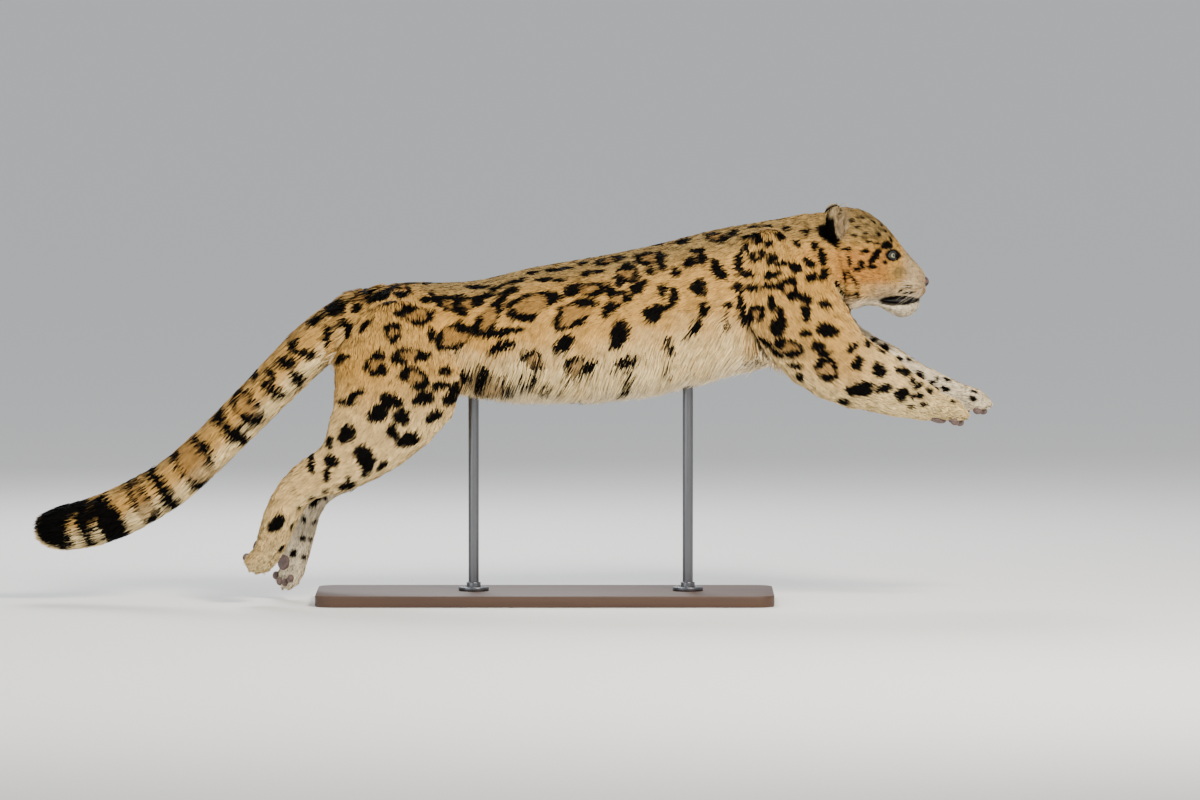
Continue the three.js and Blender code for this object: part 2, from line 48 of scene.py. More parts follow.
# Body lines. Each row is x, y, z, half width, half height above and half height below, in millimetres.
TRUNK = [
    (-398, 0, 612, 34, 30, 34),
    (-375, 0, 608, 70, 56, 66),
    (-304, 0, 598, 92, 82, 96),
    (-220, 0, 588, 93, 88, 106),
    (-140, 0, 582, 97, 98, 118),
    (-60, 0, 585, 105, 117, 133),
    (0, 0, 590, 111, 125, 142),
    (80, 0, 598, 118, 129, 150),
    (160, 0, 606, 121, 136, 154),
    (230, 0, 616, 121, 141, 154),
    (290, 0, 628, 119, 144, 152),
    (350, 0, 644, 114, 144, 152),
    (400, 0, 656, 110, 141, 150),
    (460, 0, 670, 104, 137, 150),
    (520, 0, 686, 98, 131, 148),
    (580, 0, 704, 91, 122, 140),
    (625, 0, 722, 84, 108, 132),
    (655, 0, 726, 66, 84, 118),
]
TAIL = [
    (-294, 0, 636, 30, 32, 32),
    (-357, 0, 625, 46, 48, 50),
    (-428, 0, 588, 53, 56, 56),
    (-493, -3, 534, 54, 56, 56),
    (-559, -6, 467, 52, 53, 53),
    (-666, -7, 359, 50, 50, 50),
    (-733, -4, 293, 51, 51, 51),
    (-798, 2, 239, 54, 54, 54),
    (-911, 14, 178, 58, 57, 57),
    (-990, 24, 157, 57, 55, 54),
    (-1040, 30, 151, 50, 47, 46),
    (-1062, 33, 150, 36, 34, 32),
]
HEAD = [
    (600, 0, 722, 88, 108, 100),
    (672, 0, 700, 86, 124, 78),
    (718, 0, 690, 68, 100, 62),
    (750, 0, 682, 48, 68, 52),
    (780, 0, 675, 38, 40, 40),
    (802, 0, 672, 20, 22, 24),
]
FORELEG = [
    (470, 62, 740, 20, 50, 50),
    (519, 86, 625, 45, 104, 104),
    (567, 87, 551, 47, 97, 98),
    (624, 84, 501, 44, 82, 86),
    (687, 80, 473, 41, 70, 74),
    (731, 77, 450, 38, 58, 60),
    (771, 74, 434, 36, 48, 49),
    (808, 72, 420, 37, 40, 42),
    (882, 70, 400, 40, 34, 34),
]
HINDLEG = [
    (-305, 56, 620, 40, 80, 80),
    (-300, 62, 490, 57, 142, 150),
    (-338, 66, 402, 50, 120, 122),
    (-388, 69, 337, 43, 90, 86),
    (-430, 71, 298, 37, 68, 58),
    (-470, 73, 276, 34, 56, 48),
    (-508, 74, 251, 38, 46, 44),
    (-538, 75, 214, 44, 39, 39),
    (-574, 74, 124, 42, 36, 36),
    (-603, 72, 84, 40, 34, 34),
]
# How the left legs' hidden ends differ from the right ones, a row at a time from the row named.
FAR_FORELEG = {"from_row": 3, "dx": 9, "dz": 2}
FAR_HINDLEG = {"from_row": 4, "dx": 7.5, "dz": -5.5, "turn": 8}

# Coat. Lengths and widths of a tuft, and how far the skin lies under the coat's surface, in millimetres.
COAT = {
    "trunk": {"tufts": 145000, "long": 26, "wide": 2.6, "lift": 16, "depth": 9},
    "tail": {"tufts": 62000, "long": 44, "wide": 3.0, "lift": 24, "depth": 17},
    "head": {"tufts": 62000, "long": 13, "wide": 1.5, "lift": 14, "depth": 4},
    "foreleg_right": {"tufts": 34000, "long": 18, "wide": 2.2, "lift": 15, "depth": 6},
    "foreleg_left": {"tufts": 34000, "long": 18, "wide": 2.2, "lift": 15, "depth": 6},
    "hindleg_right": {"tufts": 38000, "long": 19, "wide": 2.2, "lift": 15, "depth": 6.5},
    "hindleg_left": {"tufts": 38000, "long": 19, "wide": 2.2, "lift": 15, "depth": 6.5},
}
SKIN_VOXEL = 5.4 * MM
SKIN_SMOOTHING = 8

# Marks of the right side: px, py, half length, half width, tilt in degrees and kind.
# A kind is s for a solid spot and r for a ring with a warmer middle.
NEAR_MARKS = {
    "spine": [
        (437, 283, 13, 4, 0, "s"), (462, 281, 13, 3.5, 3, "s"), (487, 280, 13, 3.5, 4, "s"),
        (479, 288, 11, 3.5, 0, "s"), (498, 289, 7, 3.5, 0, "s"), (510, 275, 8, 3.5, 5, "s"),
        (517, 283, 14, 3.5, 3, "s"), (535, 274, 7, 4, 0, "s"), (548, 281, 9, 3.5, 5, "s"),
        (553, 271, 5, 4, 0, "s"), (567, 270, 8, 4, 5, "s"), (562, 281, 6, 3, 0, "s"),
        (586, 265, 5, 5, 0, "s"), (590, 275, 6, 4, 0, "s"), (612, 262, 11, 7, 0, "r"),
        (600, 255, 6, 3, 10, "s"), (627, 252, 8, 3, 15, "s"), (645, 246, 6, 3, 10, "s"),
        (662, 246, 5, 5, 0, "s"), (686, 243, 8, 6, 0, "s"), (695, 233, 7, 3, 5, "s"),
        (718, 238, 9, 8, 0, "r"), (735, 234, 5, 5, 0, "s"), (747, 226, 5, 4, 0, "s"),
    ],
    "flank": [
        (534, 305, 23, 11, 8, "r"), (577, 313, 23, 10, 18, "r"), (507, 297, 5, 4, 0, "s"),
        (492, 318, 18, 9, 62, "r"), (503, 331, 20, 4, 12, "s"), (503, 344, 13, 5, 28, "s"),
        (590, 289, 14, 7, 0, "r"), (572, 293, 6, 4, 0, "s"), (608, 315, 4, 4, 0, "s"),
        (620, 300, 11, 8, 10, "r"), (612, 290, 5, 6, 0, "s"), (622, 284, 4, 4, 0, "s"),
        (630, 274, 12, 8, 0, "r"), (641, 287, 9, 6, 20, "s"), (652, 259, 11, 10, 0, "r"),
        (664, 266, 5, 6, 0, "s"), (653, 272, 5, 4, 0, "s"), (678, 272, 4, 6, 0, "s"),
        (692, 263, 7, 6, 0, "s"), (704, 258, 5, 8, 0, "s"), (720, 271, 10, 6, -55, "s"),
        (700, 287, 8, 7, 0, "s"), (665, 291, 5, 6, 0, "s"), (676, 297, 8, 5, 75, "s"),
        (655, 312, 9, 8, 30, "s"), (668, 307, 6, 3, 0, "s"), (705, 308, 6, 6, 0, "s"),
        (694, 326, 11, 4, 55, "s"), (567, 342, 11, 7, 28, "s"), (533, 355, 10, 7, 0, "r"),
        (530, 371, 9, 5, 10, "s"), (550, 376, 5, 4, 0, "s"), (621, 333, 12, 9, 55, "s"),
        (580, 361, 10, 8, 30, "r"), (626, 357, 11, 5, 10, "s"), (625, 375, 4, 8, 0, "s"),
        (634, 381, 3, 4, 0, "s"), (668, 343, 4, 9, 0, "s"), (665, 359, 5, 5, 0, "s"),
        (583, 383, 7, 3, 0, "s"), (568, 376, 3, 4, 0, "s"), (495, 372, 15, 11, 10, "r"),
        (725, 322, 9, 2, 78, "s"), (728, 305, 4, 4, 0, "s"),
    ],
    "shoulder": [
        (740, 262, 13, 3, 85, "s"), (748, 274, 7, 4, 0, "s"), (741, 300, 15, 3.5, -85, "s"),
        (749, 324, 14, 3.5, -60, "s"), (765, 341, 10, 3, -38, "s"), (776, 351, 8, 2.5, -35, "s"),
        (757, 228, 6, 3, 0, "s"), (770, 228, 4, 3.5, 0, "s"), (788, 230, 6, 3.5, 20, "s"),
        (805, 216, 4, 4, 0, "s"), (780, 237, 5, 3.5, 0, "s"), (797, 245, 4.5, 4, 0, "s"),
        (748, 238, 5, 3, 0, "s"), (759, 240, 5, 4, 0, "s"), (769, 243, 4, 4.5, 0, "s"),
        (746, 248, 3.5, 5, 0, "s"), (757, 255, 6, 5, 0, "r"), (771, 258, 5, 6, 0, "s"),
        (781, 263, 6, 3.5, 0, "s"), (793, 267, 6, 6, 0, "s"), (808, 263, 6, 4, -15, "s"),
        (770, 274, 8, 4, 0, "s"), (809, 276, 6, 5, 0, "s"), (814, 247, 4, 5, 0, "s"),
        (787, 287, 9, 8, 0, "r"), (768, 285, 8, 3.5, 0, "s"), (752, 287, 6, 4, 0, "s"),
        (739, 287, 6, 3.5, 0, "s"), (803, 297, 9, 4, -28, "s"), (823, 303, 6, 4, 0, "s"),
        (770, 302, 4, 8, 0, "s"), (778, 312, 4, 6, 0, "s"), (756, 312, 6, 8, 0, "r"),
        (803, 312, 5, 8, 0, "s"), (777, 325, 8, 9, 0, "s"), (803, 332, 5, 4, 0, "s"),
        (824, 329, 10, 7, 0, "s"), (787, 346, 12, 7, 0, "r"), (815, 345, 6, 6, 0, "s"),
        (821, 353, 8, 3, 0, "s"), (849, 347, 6, 4, 30, "s"), (822, 257, 5, 7, 0, "s"),
        (822, 274, 5, 8, -70, "s"), (838, 291, 9, 4, -40, "s"),
    ],
    "foreleg": [
        (824, 368, 12, 8, 0, "r"), (793, 364, 6, 3.5, 0, "s"), (798, 375, 3.5, 5, 0, "s"),
        (854, 362, 6, 6, 0, "s"), (857, 388, 12, 8, 0, "s"), (841, 400, 6, 4, 0, "s"),
        (875, 370, 6, 7, 0, "s"), (880, 388, 7, 5, 25, "s"), (901, 371, 7, 5, -20, "s"),
        (918, 375, 5, 4.5, 0, "s"), (898, 394, 8, 6, 45, "s"), (914, 385, 6, 3, 22, "s"),
        (914, 395, 6, 3, 0, "s"), (930, 383, 5, 2.5, 25, "s"), (927, 391, 3, 3, 0, "s"),
        (908, 406, 4, 2, 0, "s"), (921, 404, 5, 2, 0, "s"), (881, 349, 8, 5, -30, "s"),
    ],
    "hindleg": [
        (382, 296, 11, 7, 58, "s"), (404, 290, 10, 8, 0, "r"), (424, 285, 12, 7, -25, "r"),
        (434, 296, 3, 5, 0, "s"), (386, 277, 6, 3, 0, "s"), (418, 314, 17, 8, 15, "r"),
        (394, 331, 8, 7, 0, "r"), (451, 304, 9, 7, 0, "r"), (470, 305, 10, 9, 0, "r"),
        (455, 335, 18, 11, 5, "r"), (433, 333, 4, 7, 0, "s"), (410, 354, 13, 8, 5, "r"),
        (378, 363, 11, 8, 20, "r"), (416, 376, 11, 10, 0, "r"), (445, 369, 6, 5, 0, "s"),
        (442, 383, 9, 5, 0, "s"), (460, 381, 11, 8, 40, "r"), (471, 387, 4, 5, 0, "s"),
        (459, 398, 10, 5, 0, "s"), (479, 367, 9, 7, 0, "r"), (424, 396, 11, 6, 5, "s"),
        (392, 399, 10, 8, -20, "s"), (380, 411, 10, 8, 0, "s"), (358, 393, 9, 4, 30, "s"),
        (350, 401, 9, 3.5, 0, "s"), (404, 415, 9, 7, 0, "s"), (395, 430, 6, 8, 0, "s"),
        (410, 438, 10, 8, 30, "s"), (435, 414, 10, 5, 35, "s"), (350, 433, 9, 8, 0, "s"),
        (328, 437, 5, 6, 0, "s"), (368, 457, 9, 12, 0, "s"), (334, 460, 7, 6, 0, "s"),
        (330, 473, 3.5, 8, 0, "s"), (350, 484, 8, 4, 10, "s"), (384, 463, 6, 4, 40, "s"),
        (368, 325, 8, 3.5, 45, "s"), (316, 499, 8, 4, 40, "s"), (279, 522, 9, 6, 62, "s"),
        (314, 462, 3, 12, 0, "s"),
    ],
    "tail": [
        (365, 300, 10, 8, 60, "r"), (340, 309, 10, 8, 70, "s"), (352, 330, 8, 9, 0, "s"),
        (321, 321, 9, 5, 0, "s"), (331, 336, 5, 9, 0, "s"), (298, 345, 5, 7, 0, "s"),
        (310, 351, 10, 4, 0, "s"), (334, 353, 8, 4, 15, "s"), (265, 361, 6, 5, 0, "s"),
        (261, 375, 6, 8, 0, "s"), (274, 385, 9, 5, -20, "s"), (291, 361, 9, 5, 0, "s"),
        (300, 376, 6, 7, 0, "s"), (288, 397, 9, 4, 0, "s"), (250, 404, 13, 11, 0, "r"),
        (226, 416, 8, 8, 0, "s"), (240, 431, 11, 8, -30, "s"), (199, 461, 23, 17, -50, "r"),
        (165, 484, 21, 7, -58, "s"), (146, 501, 20, 10, -66, "r"), (114, 520, 23, 12, -68, "s"),
        (88, 519, 20, 7, -70, "s"), (62, 518, 19, 11, -70, "s"), (42, 524, 14, 8, -50, "s"),
    ],
    "head": [
        (829, 236, 13, 6.5, -62, "s"), (845, 277, 3, 6, -10, "s"), (874, 258, 12, 3, 52, "s"), (886, 246, 6, 4.5, 30, "s"),
        (878, 235, 2.5, 2.5, 0, "s"), (862, 266, 3, 4, 0, "s"), (857, 270, 5, 1.5, 0, "s"),
        (884, 263, 2, 2, 0, "s"), (858, 295, 2.5, 2.5, 0, "s"), (854, 280, 9, 1.8, -58, "s"),
        (872, 268, 4, 2, 0, "s"), (865, 252, 5, 2, 20, "s"), (850, 262, 6, 1.5, -75, "s"),
        (868, 242, 3, 1.6, 0, "s"), (858, 228, 2.4, 2, 0, "s"), (866, 234, 2, 2, 0, "s"),
        (852, 222, 3, 1.8, 0, "s"), (873, 223, 3, 1.8, -20, "s"), (881, 226, 2.5, 2, -30, "s"),
        (863, 219, 2, 1.6, 0, "s"), (855, 236, 2.4, 1.8, 0, "s"), (876, 244, 3, 1.6, 10, "s"),
        (847, 250, 5, 2, 0, "s"), (908, 287, 4, 1.3, 5, "s"), (909, 293, 5, 1.3, -5, "s"),
        (900, 291, 3, 1, 30, "s"), (885, 232, 2.4, 2, 0, "s"), (890, 240, 2.4, 3, 0, "s"),
    ],
}

# Colours as the photo shows them, in sRGB from 0 to 255
OCHRE = (194, 150, 80)
GOLD = (198, 146, 66)
# Greyer coat colour of the back, also used as painted shade on the tops of the back and tail
BACK_TONE_AND_SHADE = (132, 112, 72)
CREAM = (228, 202, 146)
WHITE = (236, 222, 192)
MUZZLE = (192, 168, 130)
RUST = (176, 112, 54)
DARK = (4, 3, 2)
ROSETTE = (126, 90, 46)
LIP = (16, 11, 10)
LEATHER = (88, 58, 50)
PAD = (126, 102, 94)
CLAW_HORN = (96, 82, 66)
IRIS = (142, 148, 108)
IRIS_RIM = (74, 74, 52)
EYE_BROWN = (46, 34, 28)
OAK = (84, 58, 38)
OAK_GRAIN = (50, 33, 22)
STEEL = (120, 121, 124)
STAGE = (236, 234, 230)

# The photo's camera: a long lens from the animal's right, a little above it
PHOTO = {"px": 1200, "py": 800, "mm_per_px": 2.1, "x_at": 545, "z45_at": 581}
CAMERA = {"far": 20.0, "raised": 3.0, "sensor": 36.0}
RAISED = math.radians(CAMERA["raised"])
STAGE_HALF = 400
SIGHT = Vector((0, math.cos(RAISED), -math.sin(RAISED)))

# The face, in millimetres, as the solids have it
EYE = {"at": (719, 39, 728), "radius": 15, "gaze": (0.78, 0.6, 0.18), "iris": 8.2, "pupil": 3.4}
LIDS = {"wide": 12.6, "high": 7.6, "thick": 2.5, "lift": 1.0}
NOSE = {"at": (796.5, 0, 672), "size": (10, 17.5, 13)}
NOSTRIL = {"at": (802, 10.5, 669), "size": (7, 5, 3.2), "turn": 25}
MOUTH = {"at": (742, 636), "half": (38, 6.5), "lip": 4}
EAR_AT = (611, 72, 796)
EAR = {"outer": (19, 28, 39), "inner": (17, 24, 34), "shift": 11, "open": 22, "back": 24, "out": 24}
EAR_FUR = {"tufts": 5200, "long": 11, "wide": 1.3, "lift": 18}
EAR_HAIR = {"tufts": 900, "long": 30, "wide": 1.2, "lift": 55}
WHISKERS = {"rows": 4, "columns": 4, "long": (46, 88), "thick": 0.32, "from": (764, 33, 671), "step": (7.5, -2.4, -5.2)}

# Paws and stand, in millimetres. A paw lies beyond its leg's last two stations.
FOREPAW = {"long": 96, "wide": 92, "thick": 64}
HINDPAW = {"long": 88, "wide": 86, "thick": 58}
FORELEG_PAW = ((808, 72, 420), (831.5, 71.3, 414))
FAR_FORELEG_PAW = ((853, 72, 430), (883, 71.3, 426))
HINDLEG_PAW = ((-574, 74, 124), (-581, 73.4, 110))
FAR_HINDLEG_PAW = ((-529, 74, 91), (-531.7, 73.4, 73.3))
TOES = ((-0.36, 0.32), (-0.13, 0.44), (0.13, 0.44), (0.36, 0.32))
CLAW = {"from": 4, "below": 6, "long": 13, "hook": 7, "thick": 1.9}
BASE = {"long": 960, "wide": 340, "thick": 24, "corner": 40, "edge": 2.5}
ROD = {"radius": 11, "flange": 32, "flange_thick": 8, "screws": 23, "front_x": 300, "rear_x": -150, "top": 540}
SIDES = ((-1, "right"), (1, "left"))

# How tufts are drawn: sizes in millimetres, brightness from root to tip, and the patch's size on the unwrap
CLUMP = 11
ROOT_SINK = 0.6
# Roots darker as painted shade between the clumps, tips lighter as painted light
TUFT_SHADE = (0.4, 0.4, 0.9, 0.9, 1.15)
# Skin under the coat darkened: painted shade under the fur
SKIN_SHADE = 0.45
# Each clump a little lighter or darker at random: painted light and shade between the locks
CLUMP_SHADE = 0.09
PIECE_TUFTS = 64000
BAKE_PATCH = 0.003

# How marks are drawn, in millimetres
MARK_EDGE = 2.6
RING_THICK = 7.0
MARK_GROWTH = 1.15
SEEN_AT = 0.42  # a tuft takes its colour from this share of its length
FAR_JITTER = np.array([0.014, 0.0, 0.010])
INNER_SPOTS = (("hindleg", 0.5, 0.9, 7), ("foreleg", 0.55, 0.92, 6))


def linear(colour):
    """An sRGB colour from 0 to 255 as linear values."""
    c = np.asarray(colour, float) / 255
    return np.where(c <= 0.04045, c / 12.92, ((c + 0.055) / 1.055) ** 2.4)


def photo_xz(px, py):
    """Where a pixel of the photo lies in the body's middle plane."""
    x = (px - PHOTO["x_at"]) * PHOTO["mm_per_px"] * MM
    z = (45 + (PHOTO["z45_at"] - py) * PHOTO["mm_per_px"]) * MM
    return x, z


# Objects


def activate(obj):
    """Deselects everything, then makes obj selected and active."""
    if bpy.context.mode != "OBJECT":
        bpy.ops.object.mode_set(mode="OBJECT")
    bpy.ops.object.select_all(action="DESELECT")
    obj.select_set(True)
    bpy.context.view_layer.objects.active = obj


def settle(obj, name):
    """Names a finished piece and puts its object at the origin, with its place in its mesh."""
    activate(obj)
    bpy.ops.object.transform_apply(location=True, rotation=True, scale=True)
    obj.name = name
    obj.data.name = name
    return obj


def apply_modifier(obj, kind, **settings):
    """Adds a modifier and applies it."""
    activate(obj)
    modifier = obj.modifiers.new(kind.lower(), kind)
    for key, value in settings.items():
        setattr(modifier, key, value)
    bpy.ops.object.modifier_apply(modifier=modifier.name)


def joined(objects):
    """Joins objects into the first."""
    activate(objects[0])
    for obj in objects:
        obj.select_set(True)
    bpy.ops.object.join()
    return objects[0]


def copy_of(node):
    """A copy of a CAD node with a mesh of its own."""
    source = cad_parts[node]
    twin = source.copy()
    twin.data = source.data.copy()
    bpy.context.scene.collection.objects.link(twin)
    return twin


def dress(obj, material):
    """Gives a piece its material and ties it to the body."""
    obj.data.materials.clear()
    obj.data.materials.append(material)
    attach(obj, "root")
    return obj


# Body lines as fields


def leg_rows(rows, side, far):
    """The rows of a leg on one side, with the left one's own reach."""
    made = []
    for i, (x, y, z, wide, up, down) in enumerate(rows):
        steps = max(0, i - far["from_row"] + 1) if side > 0 else 0
        made.append((x + steps * far["dx"], side * y, z + steps * far["dz"], wide, up, down))
    return made


class Limb:
    """A body line: where points lie along it and round it."""

    def __init__(self, name, rows, samples=70):
        table = np.array(rows, float) * MM
        steps = np.linspace(0, len(rows) - 1, samples)
        columns = [np.interp(steps, range(len(rows)), table[:, k]) for k in range(6)]
        self.name = name
        self.centre = np.stack(columns[:3], 1)
        self.centre[:, 2] += (columns[4] - columns[5]) / 2
        self.wide = columns[3]
        self.high = (columns[4] + columns[5]) / 2
        self.along = np.gradient(self.centre, axis=0)
        self.along /= np.linalg.norm(self.along, axis=1)[:, None]
        gaps = np.linalg.norm(np.diff(self.centre, axis=0), axis=1)
        self.reach = np.concatenate([[0], np.cumsum(gaps)])
        self.length = self.reach[-1]

    def locate(self, points):
        """(nearness from 0 at the line to 1 at its surface, share along it, angle from its top, its direction)."""
        side = np.array([0.0, 1.0, 0.0])
        best = np.full(len(points), 1e9)
        index = np.zeros(len(points), int)
        for k, (centre, along) in enumerate(zip(self.centre, self.along)):
            away = points - centre
            ahead = away @ along
            across = away[:, 1]
            above = away @ np.cross(along, side)
            near = (across / self.wide[k]) ** 2 + (above / self.high[k]) ** 2 + (ahead / self.high[k]) ** 2
            closer = near < best
            best[closer] = near[closer]
            index[closer] = k
        along = self.along[index]
        away = points - self.centre[index]
        above = np.einsum("ij,ij->i", away, np.cross(along, side))
        angle = np.arctan2(away[:, 1], above)
        ahead = np.einsum("ij,ij->i", away, along)
        share = np.clip((self.reach[index] + ahead) / self.length, 0, 1)
        return np.sqrt(best), share, angle, along


LIMBS = [
    Limb("trunk", TRUNK),
    Limb("tail", TAIL),
    Limb("head", HEAD),
    Limb("foreleg_right", leg_rows(FORELEG, -1, FAR_FORELEG)),
    Limb("foreleg_left", leg_rows(FORELEG, 1, FAR_FORELEG)),
    Limb("hindleg_right", leg_rows(HINDLEG, -1, FAR_HINDLEG)),
    Limb("hindleg_left", leg_rows(HINDLEG, 1, FAR_HINDLEG)),
]
LIMB_INDEX = {limb.name: i for i, limb in enumerate(LIMBS)}


# Skin


def cage(name, rows, upright, sides=20, thinner=0.0):
    """A closed tube through rows, drawn ring by ring in edit mode."""
    table = np.array(rows, float) * MM
    lean = []
    for i in range(len(table)):
        a, b = table[max(i - 1, 0)], table[min(i + 1, len(table) - 1)]
        lean.append(0.0 if upright else math.atan2(b[2] - a[2], b[0] - a[0]))
    centres = [Vector((x, y, z + (up - down) / 2)) for x, y, z, _, up, down in table]
    sizes = [(wide - thinner, (up + down) / 2 - thinner) for _, _, _, wide, up, down in table]
    bpy.ops.object.select_all(action="DESELECT")
    bpy.ops.mesh.primitive_circle_add(
        vertices=sides, radius=1, fill_type="NGON", location=centres[0], rotation=(0, math.pi / 2 - lean[0], 0)
    )
    obj = bpy.context.active_object
    obj.name = name
    bpy.ops.object.transform_apply(location=True, rotation=True, scale=True)
    bpy.ops.object.mode_set(mode="EDIT")
    bpy.ops.mesh.select_all(action="SELECT")
    wide, high = sizes[0]
    grow = (1, wide, high) if upright else (high, wide, high)
    bpy.ops.transform.resize(value=grow, center_override=centres[0])
    for i in range(1, len(centres)):
        step = centres[i] - centres[i - 1]
        bpy.ops.mesh.extrude_region_move(TRANSFORM_OT_translate={"value": step})
        ratio_wide = sizes[i][0] / sizes[i - 1][0]
        ratio_high = sizes[i][1] / sizes[i - 1][1]
        grow = (1, ratio_wide, ratio_high) if upright else (ratio_high, ratio_wide, ratio_high)
        bpy.ops.transform.resize(value=grow, center_override=centres[i])
        turn = lean[i] - lean[i - 1]
        if abs(turn) > 1e-6:
            bpy.ops.transform.rotate(value=turn, orient_axis="Y", center_override=centres[i])
    bpy.ops.mesh.select_all(action="SELECT")
    bpy.ops.mesh.normals_make_consistent(inside=False)
    bpy.ops.object.mode_set(mode="OBJECT")
    return obj


FLESH = ["head", "jaw"]
for word in ("right", "left"):
    FLESH += [f"foreleg_upper_{word}", f"foreleg_lower_{word}", f"forepaw_{word}"]
    FLESH += [f"thigh_{word}", f"shank_{word}", f"hindfoot_{word}", f"hindpaw_{word}"]


def vertex_array(mesh):
    """A mesh's vertices as an array."""
    points = np.empty(len(mesh.vertices) * 3)
    mesh.vertices.foreach_get("co", points)
    return points.reshape(-1, 3)


def normal_array(mesh):
    """A mesh's vertex normals as an array."""
    normals = np.empty(len(mesh.vertices) * 3)
    mesh.vertex_normals.foreach_get("vector", normals)
    return normals.reshape(-1, 3)


def make_skin():
    """One skin over all the flesh, joined, remeshed and smoothed; the coat's depth is let in afterwards."""
    trunk = cage("trunk_cage", TRUNK, True)
    tail = cage("tail_cage", TAIL, False)
    apply_modifier(trunk, "SUBSURF", levels=2)
    apply_modifier(tail, "SUBSURF", levels=2)
    skin = joined([trunk, tail] + [copy_of(node) for node in FLESH])
    skin.parent = None
    apply_modifier(skin, "REMESH", mode="VOXEL", voxel_size=SKIN_VOXEL)
    keep_largest(skin)
    apply_modifier(skin, "SMOOTH", factor=0.6, iterations=SKIN_SMOOTHING)
    return skin


def open_mouth(obj):
    """Cuts the mouth's slit, widest in its middle, into the skin."""
    x, z = MOUTH["at"]
    a, c = MOUTH["half"]
    cut(obj, ball("slit", (a, 400, c), Matrix.Translation(Vector((x, 0, z)) * MM)))


def keep_largest(obj):
    """Deletes every loose part of a mesh but the largest."""
    activate(obj)
    bpy.ops.object.mode_set(mode="EDIT")
    bpy.ops.mesh.select_all(action="SELECT")
    bpy.ops.mesh.separate(type="LOOSE")
    bpy.ops.object.mode_set(mode="OBJECT")
    parts = sorted(bpy.context.selected_objects, key=lambda part: len(part.data.vertices))
    for part in parts[:-1]:
        if part is not obj:
            bpy.data.objects.remove(part)
    if parts[-1] is not obj:
        obj.data = parts[-1].data
        bpy.data.objects.remove(parts[-1])


def smooth_step(low, high, value):
    """0 below low, 1 above high and smooth between."""
    t = np.clip((value - low) / (high - low), 0, 1)
    return t * t * (3 - 2 * t)


def unit(vectors):
    """Vectors at length 1."""
    return vectors / np.maximum(np.linalg.norm(vectors, axis=1), 1e-9)[:, None]


class Fields:
    """What the coat needs to know at each point of the skin."""

    def __init__(self, points, normals):
        found = [limb.locate(points) for limb in LIMBS]
        near = np.stack([f[0] for f in found], 1)
        near[:, LIMB_INDEX["head"]] -= 0.35 * smooth_step(0.60, 0.66, points[:, 0])
        self.limb = np.argmin(near, 1)
        weight = np.exp(-9 * (near - near.min(1)[:, None]))
        weight /= weight.sum(1)[:, None]
        self.weight = weight
        self.share = np.stack([f[1] for f in found], 1)
        self.angle = np.stack([f[2] for f in found], 1)
        lie = np.zeros_like(points)
        depth = np.zeros(len(points))
        for i, limb in enumerate(LIMBS):
            along = found[i][3] if limb.name not in ("trunk", "head") else -found[i][3]
            lie += weight[:, i, None] * self.lie_of(limb.name, along, points, normals)
            depth += weight[:, i] * COAT[limb.name]["depth"] * MM
        self.depth = depth * (1 - 0.45 * smooth_step(0.70, 0.76, points[:, 0]) * (weight[:, LIMB_INDEX["head"]]))
        lie -= normals * np.einsum("ij,ij->i", lie, normals)[:, None]
        self.lie = unit(lie)

    def lie_of(self, name, along, points, normals):
        """The way the hair lies on one limb."""
        if name == "trunk":
            drop = 0.2 + 2.9 * smooth_step(0.65, 0.51, points[:, 2])
            return along + drop[:, None] * np.array([0, 0, -1.0])
        if name == "head":
            fall = 0.35 * smooth_step(0.70, 0.66, points[:, 2])
            return along + fall[:, None] * np.array([0, 0, -1.0])
        return along


def triangles_of(obj):
    """(the vertices of each triangle, their places on the unwrap) of a mesh that has one."""
    mesh = obj.data
    mesh.calc_loop_triangles()
    count = len(mesh.loop_triangles)
    vertices, loops = np.empty((2, count * 3), np.int32)
    mesh.loop_triangles.foreach_get("vertices", vertices)
    mesh.loop_triangles.foreach_get("loops", loops)
    places = np.empty(len(mesh.loops) * 2)
    mesh.uv_layers["OFBake"].data.foreach_get("uv", places)
    return vertices.reshape(-1, 3), places.reshape(-1, 2)[loops].reshape(-1, 3, 2)


def unwrapped(obj):
    """Lays a mesh out flat without overlaps, as its map OFBake."""
    for layer in list(obj.data.uv_layers):
        obj.data.uv_layers.remove(layer)
    obj.data.uv_layers.new(name="OFBake")
    activate(obj)
    bpy.ops.object.mode_set(mode="EDIT")
    bpy.ops.mesh.select_all(action="SELECT")
    bpy.ops.uv.smart_project(angle_limit=math.radians(66), island_margin=0.002)
    bpy.ops.object.mode_set(mode="OBJECT")


def fields_of(obj):
    """(points, normals, fields) of a mesh."""
    points = vertex_array(obj.data)
    normals = normal_array(obj.data)
    return points, normals, Fields(points, normals)


# Frames of the eyes, the ears and the paws


def eye_axes(side):
    """(across, above, gaze) of one eye."""
    x, y, z = EYE["gaze"]
    gaze = unit(np.array([[x, side * y, z]]))[0]
    across = unit(np.cross([0, 0, 1], gaze)[None])[0]
    return across, np.cross(gaze, across), gaze


def ear_axes(side):
    """(facing, across, rise) of one ear."""
    turn, back, out = (math.radians(EAR[key]) for key in ("open", "back", "out"))
    facing = np.array([math.cos(turn), side * math.sin(turn), 0])
    rise = np.array([-math.sin(back), side * math.sin(out), math.cos(back) * math.cos(out)])
    across = unit(np.cross(rise, facing)[None])[0]
    return facing, across, np.cross(facing, across)


def paw_axes(last, before, side, turn):
    """(along, across, above) of a paw from its leg's last stations, turned about the leg by degrees."""
    along = Vector(last[:3]) - Vector(before[:3])
    along.y *= side
    along.normalize()
    across = Vector((0, 1, 0))
    across = (across - along * across.dot(along)).normalized()
    above = along.cross(across)
    roll = Quaternion(along, math.radians(-side * turn))
    across.rotate(roll)
    above.rotate(roll)
    return np.array(along), np.array(above.cross(along)), np.array(above)


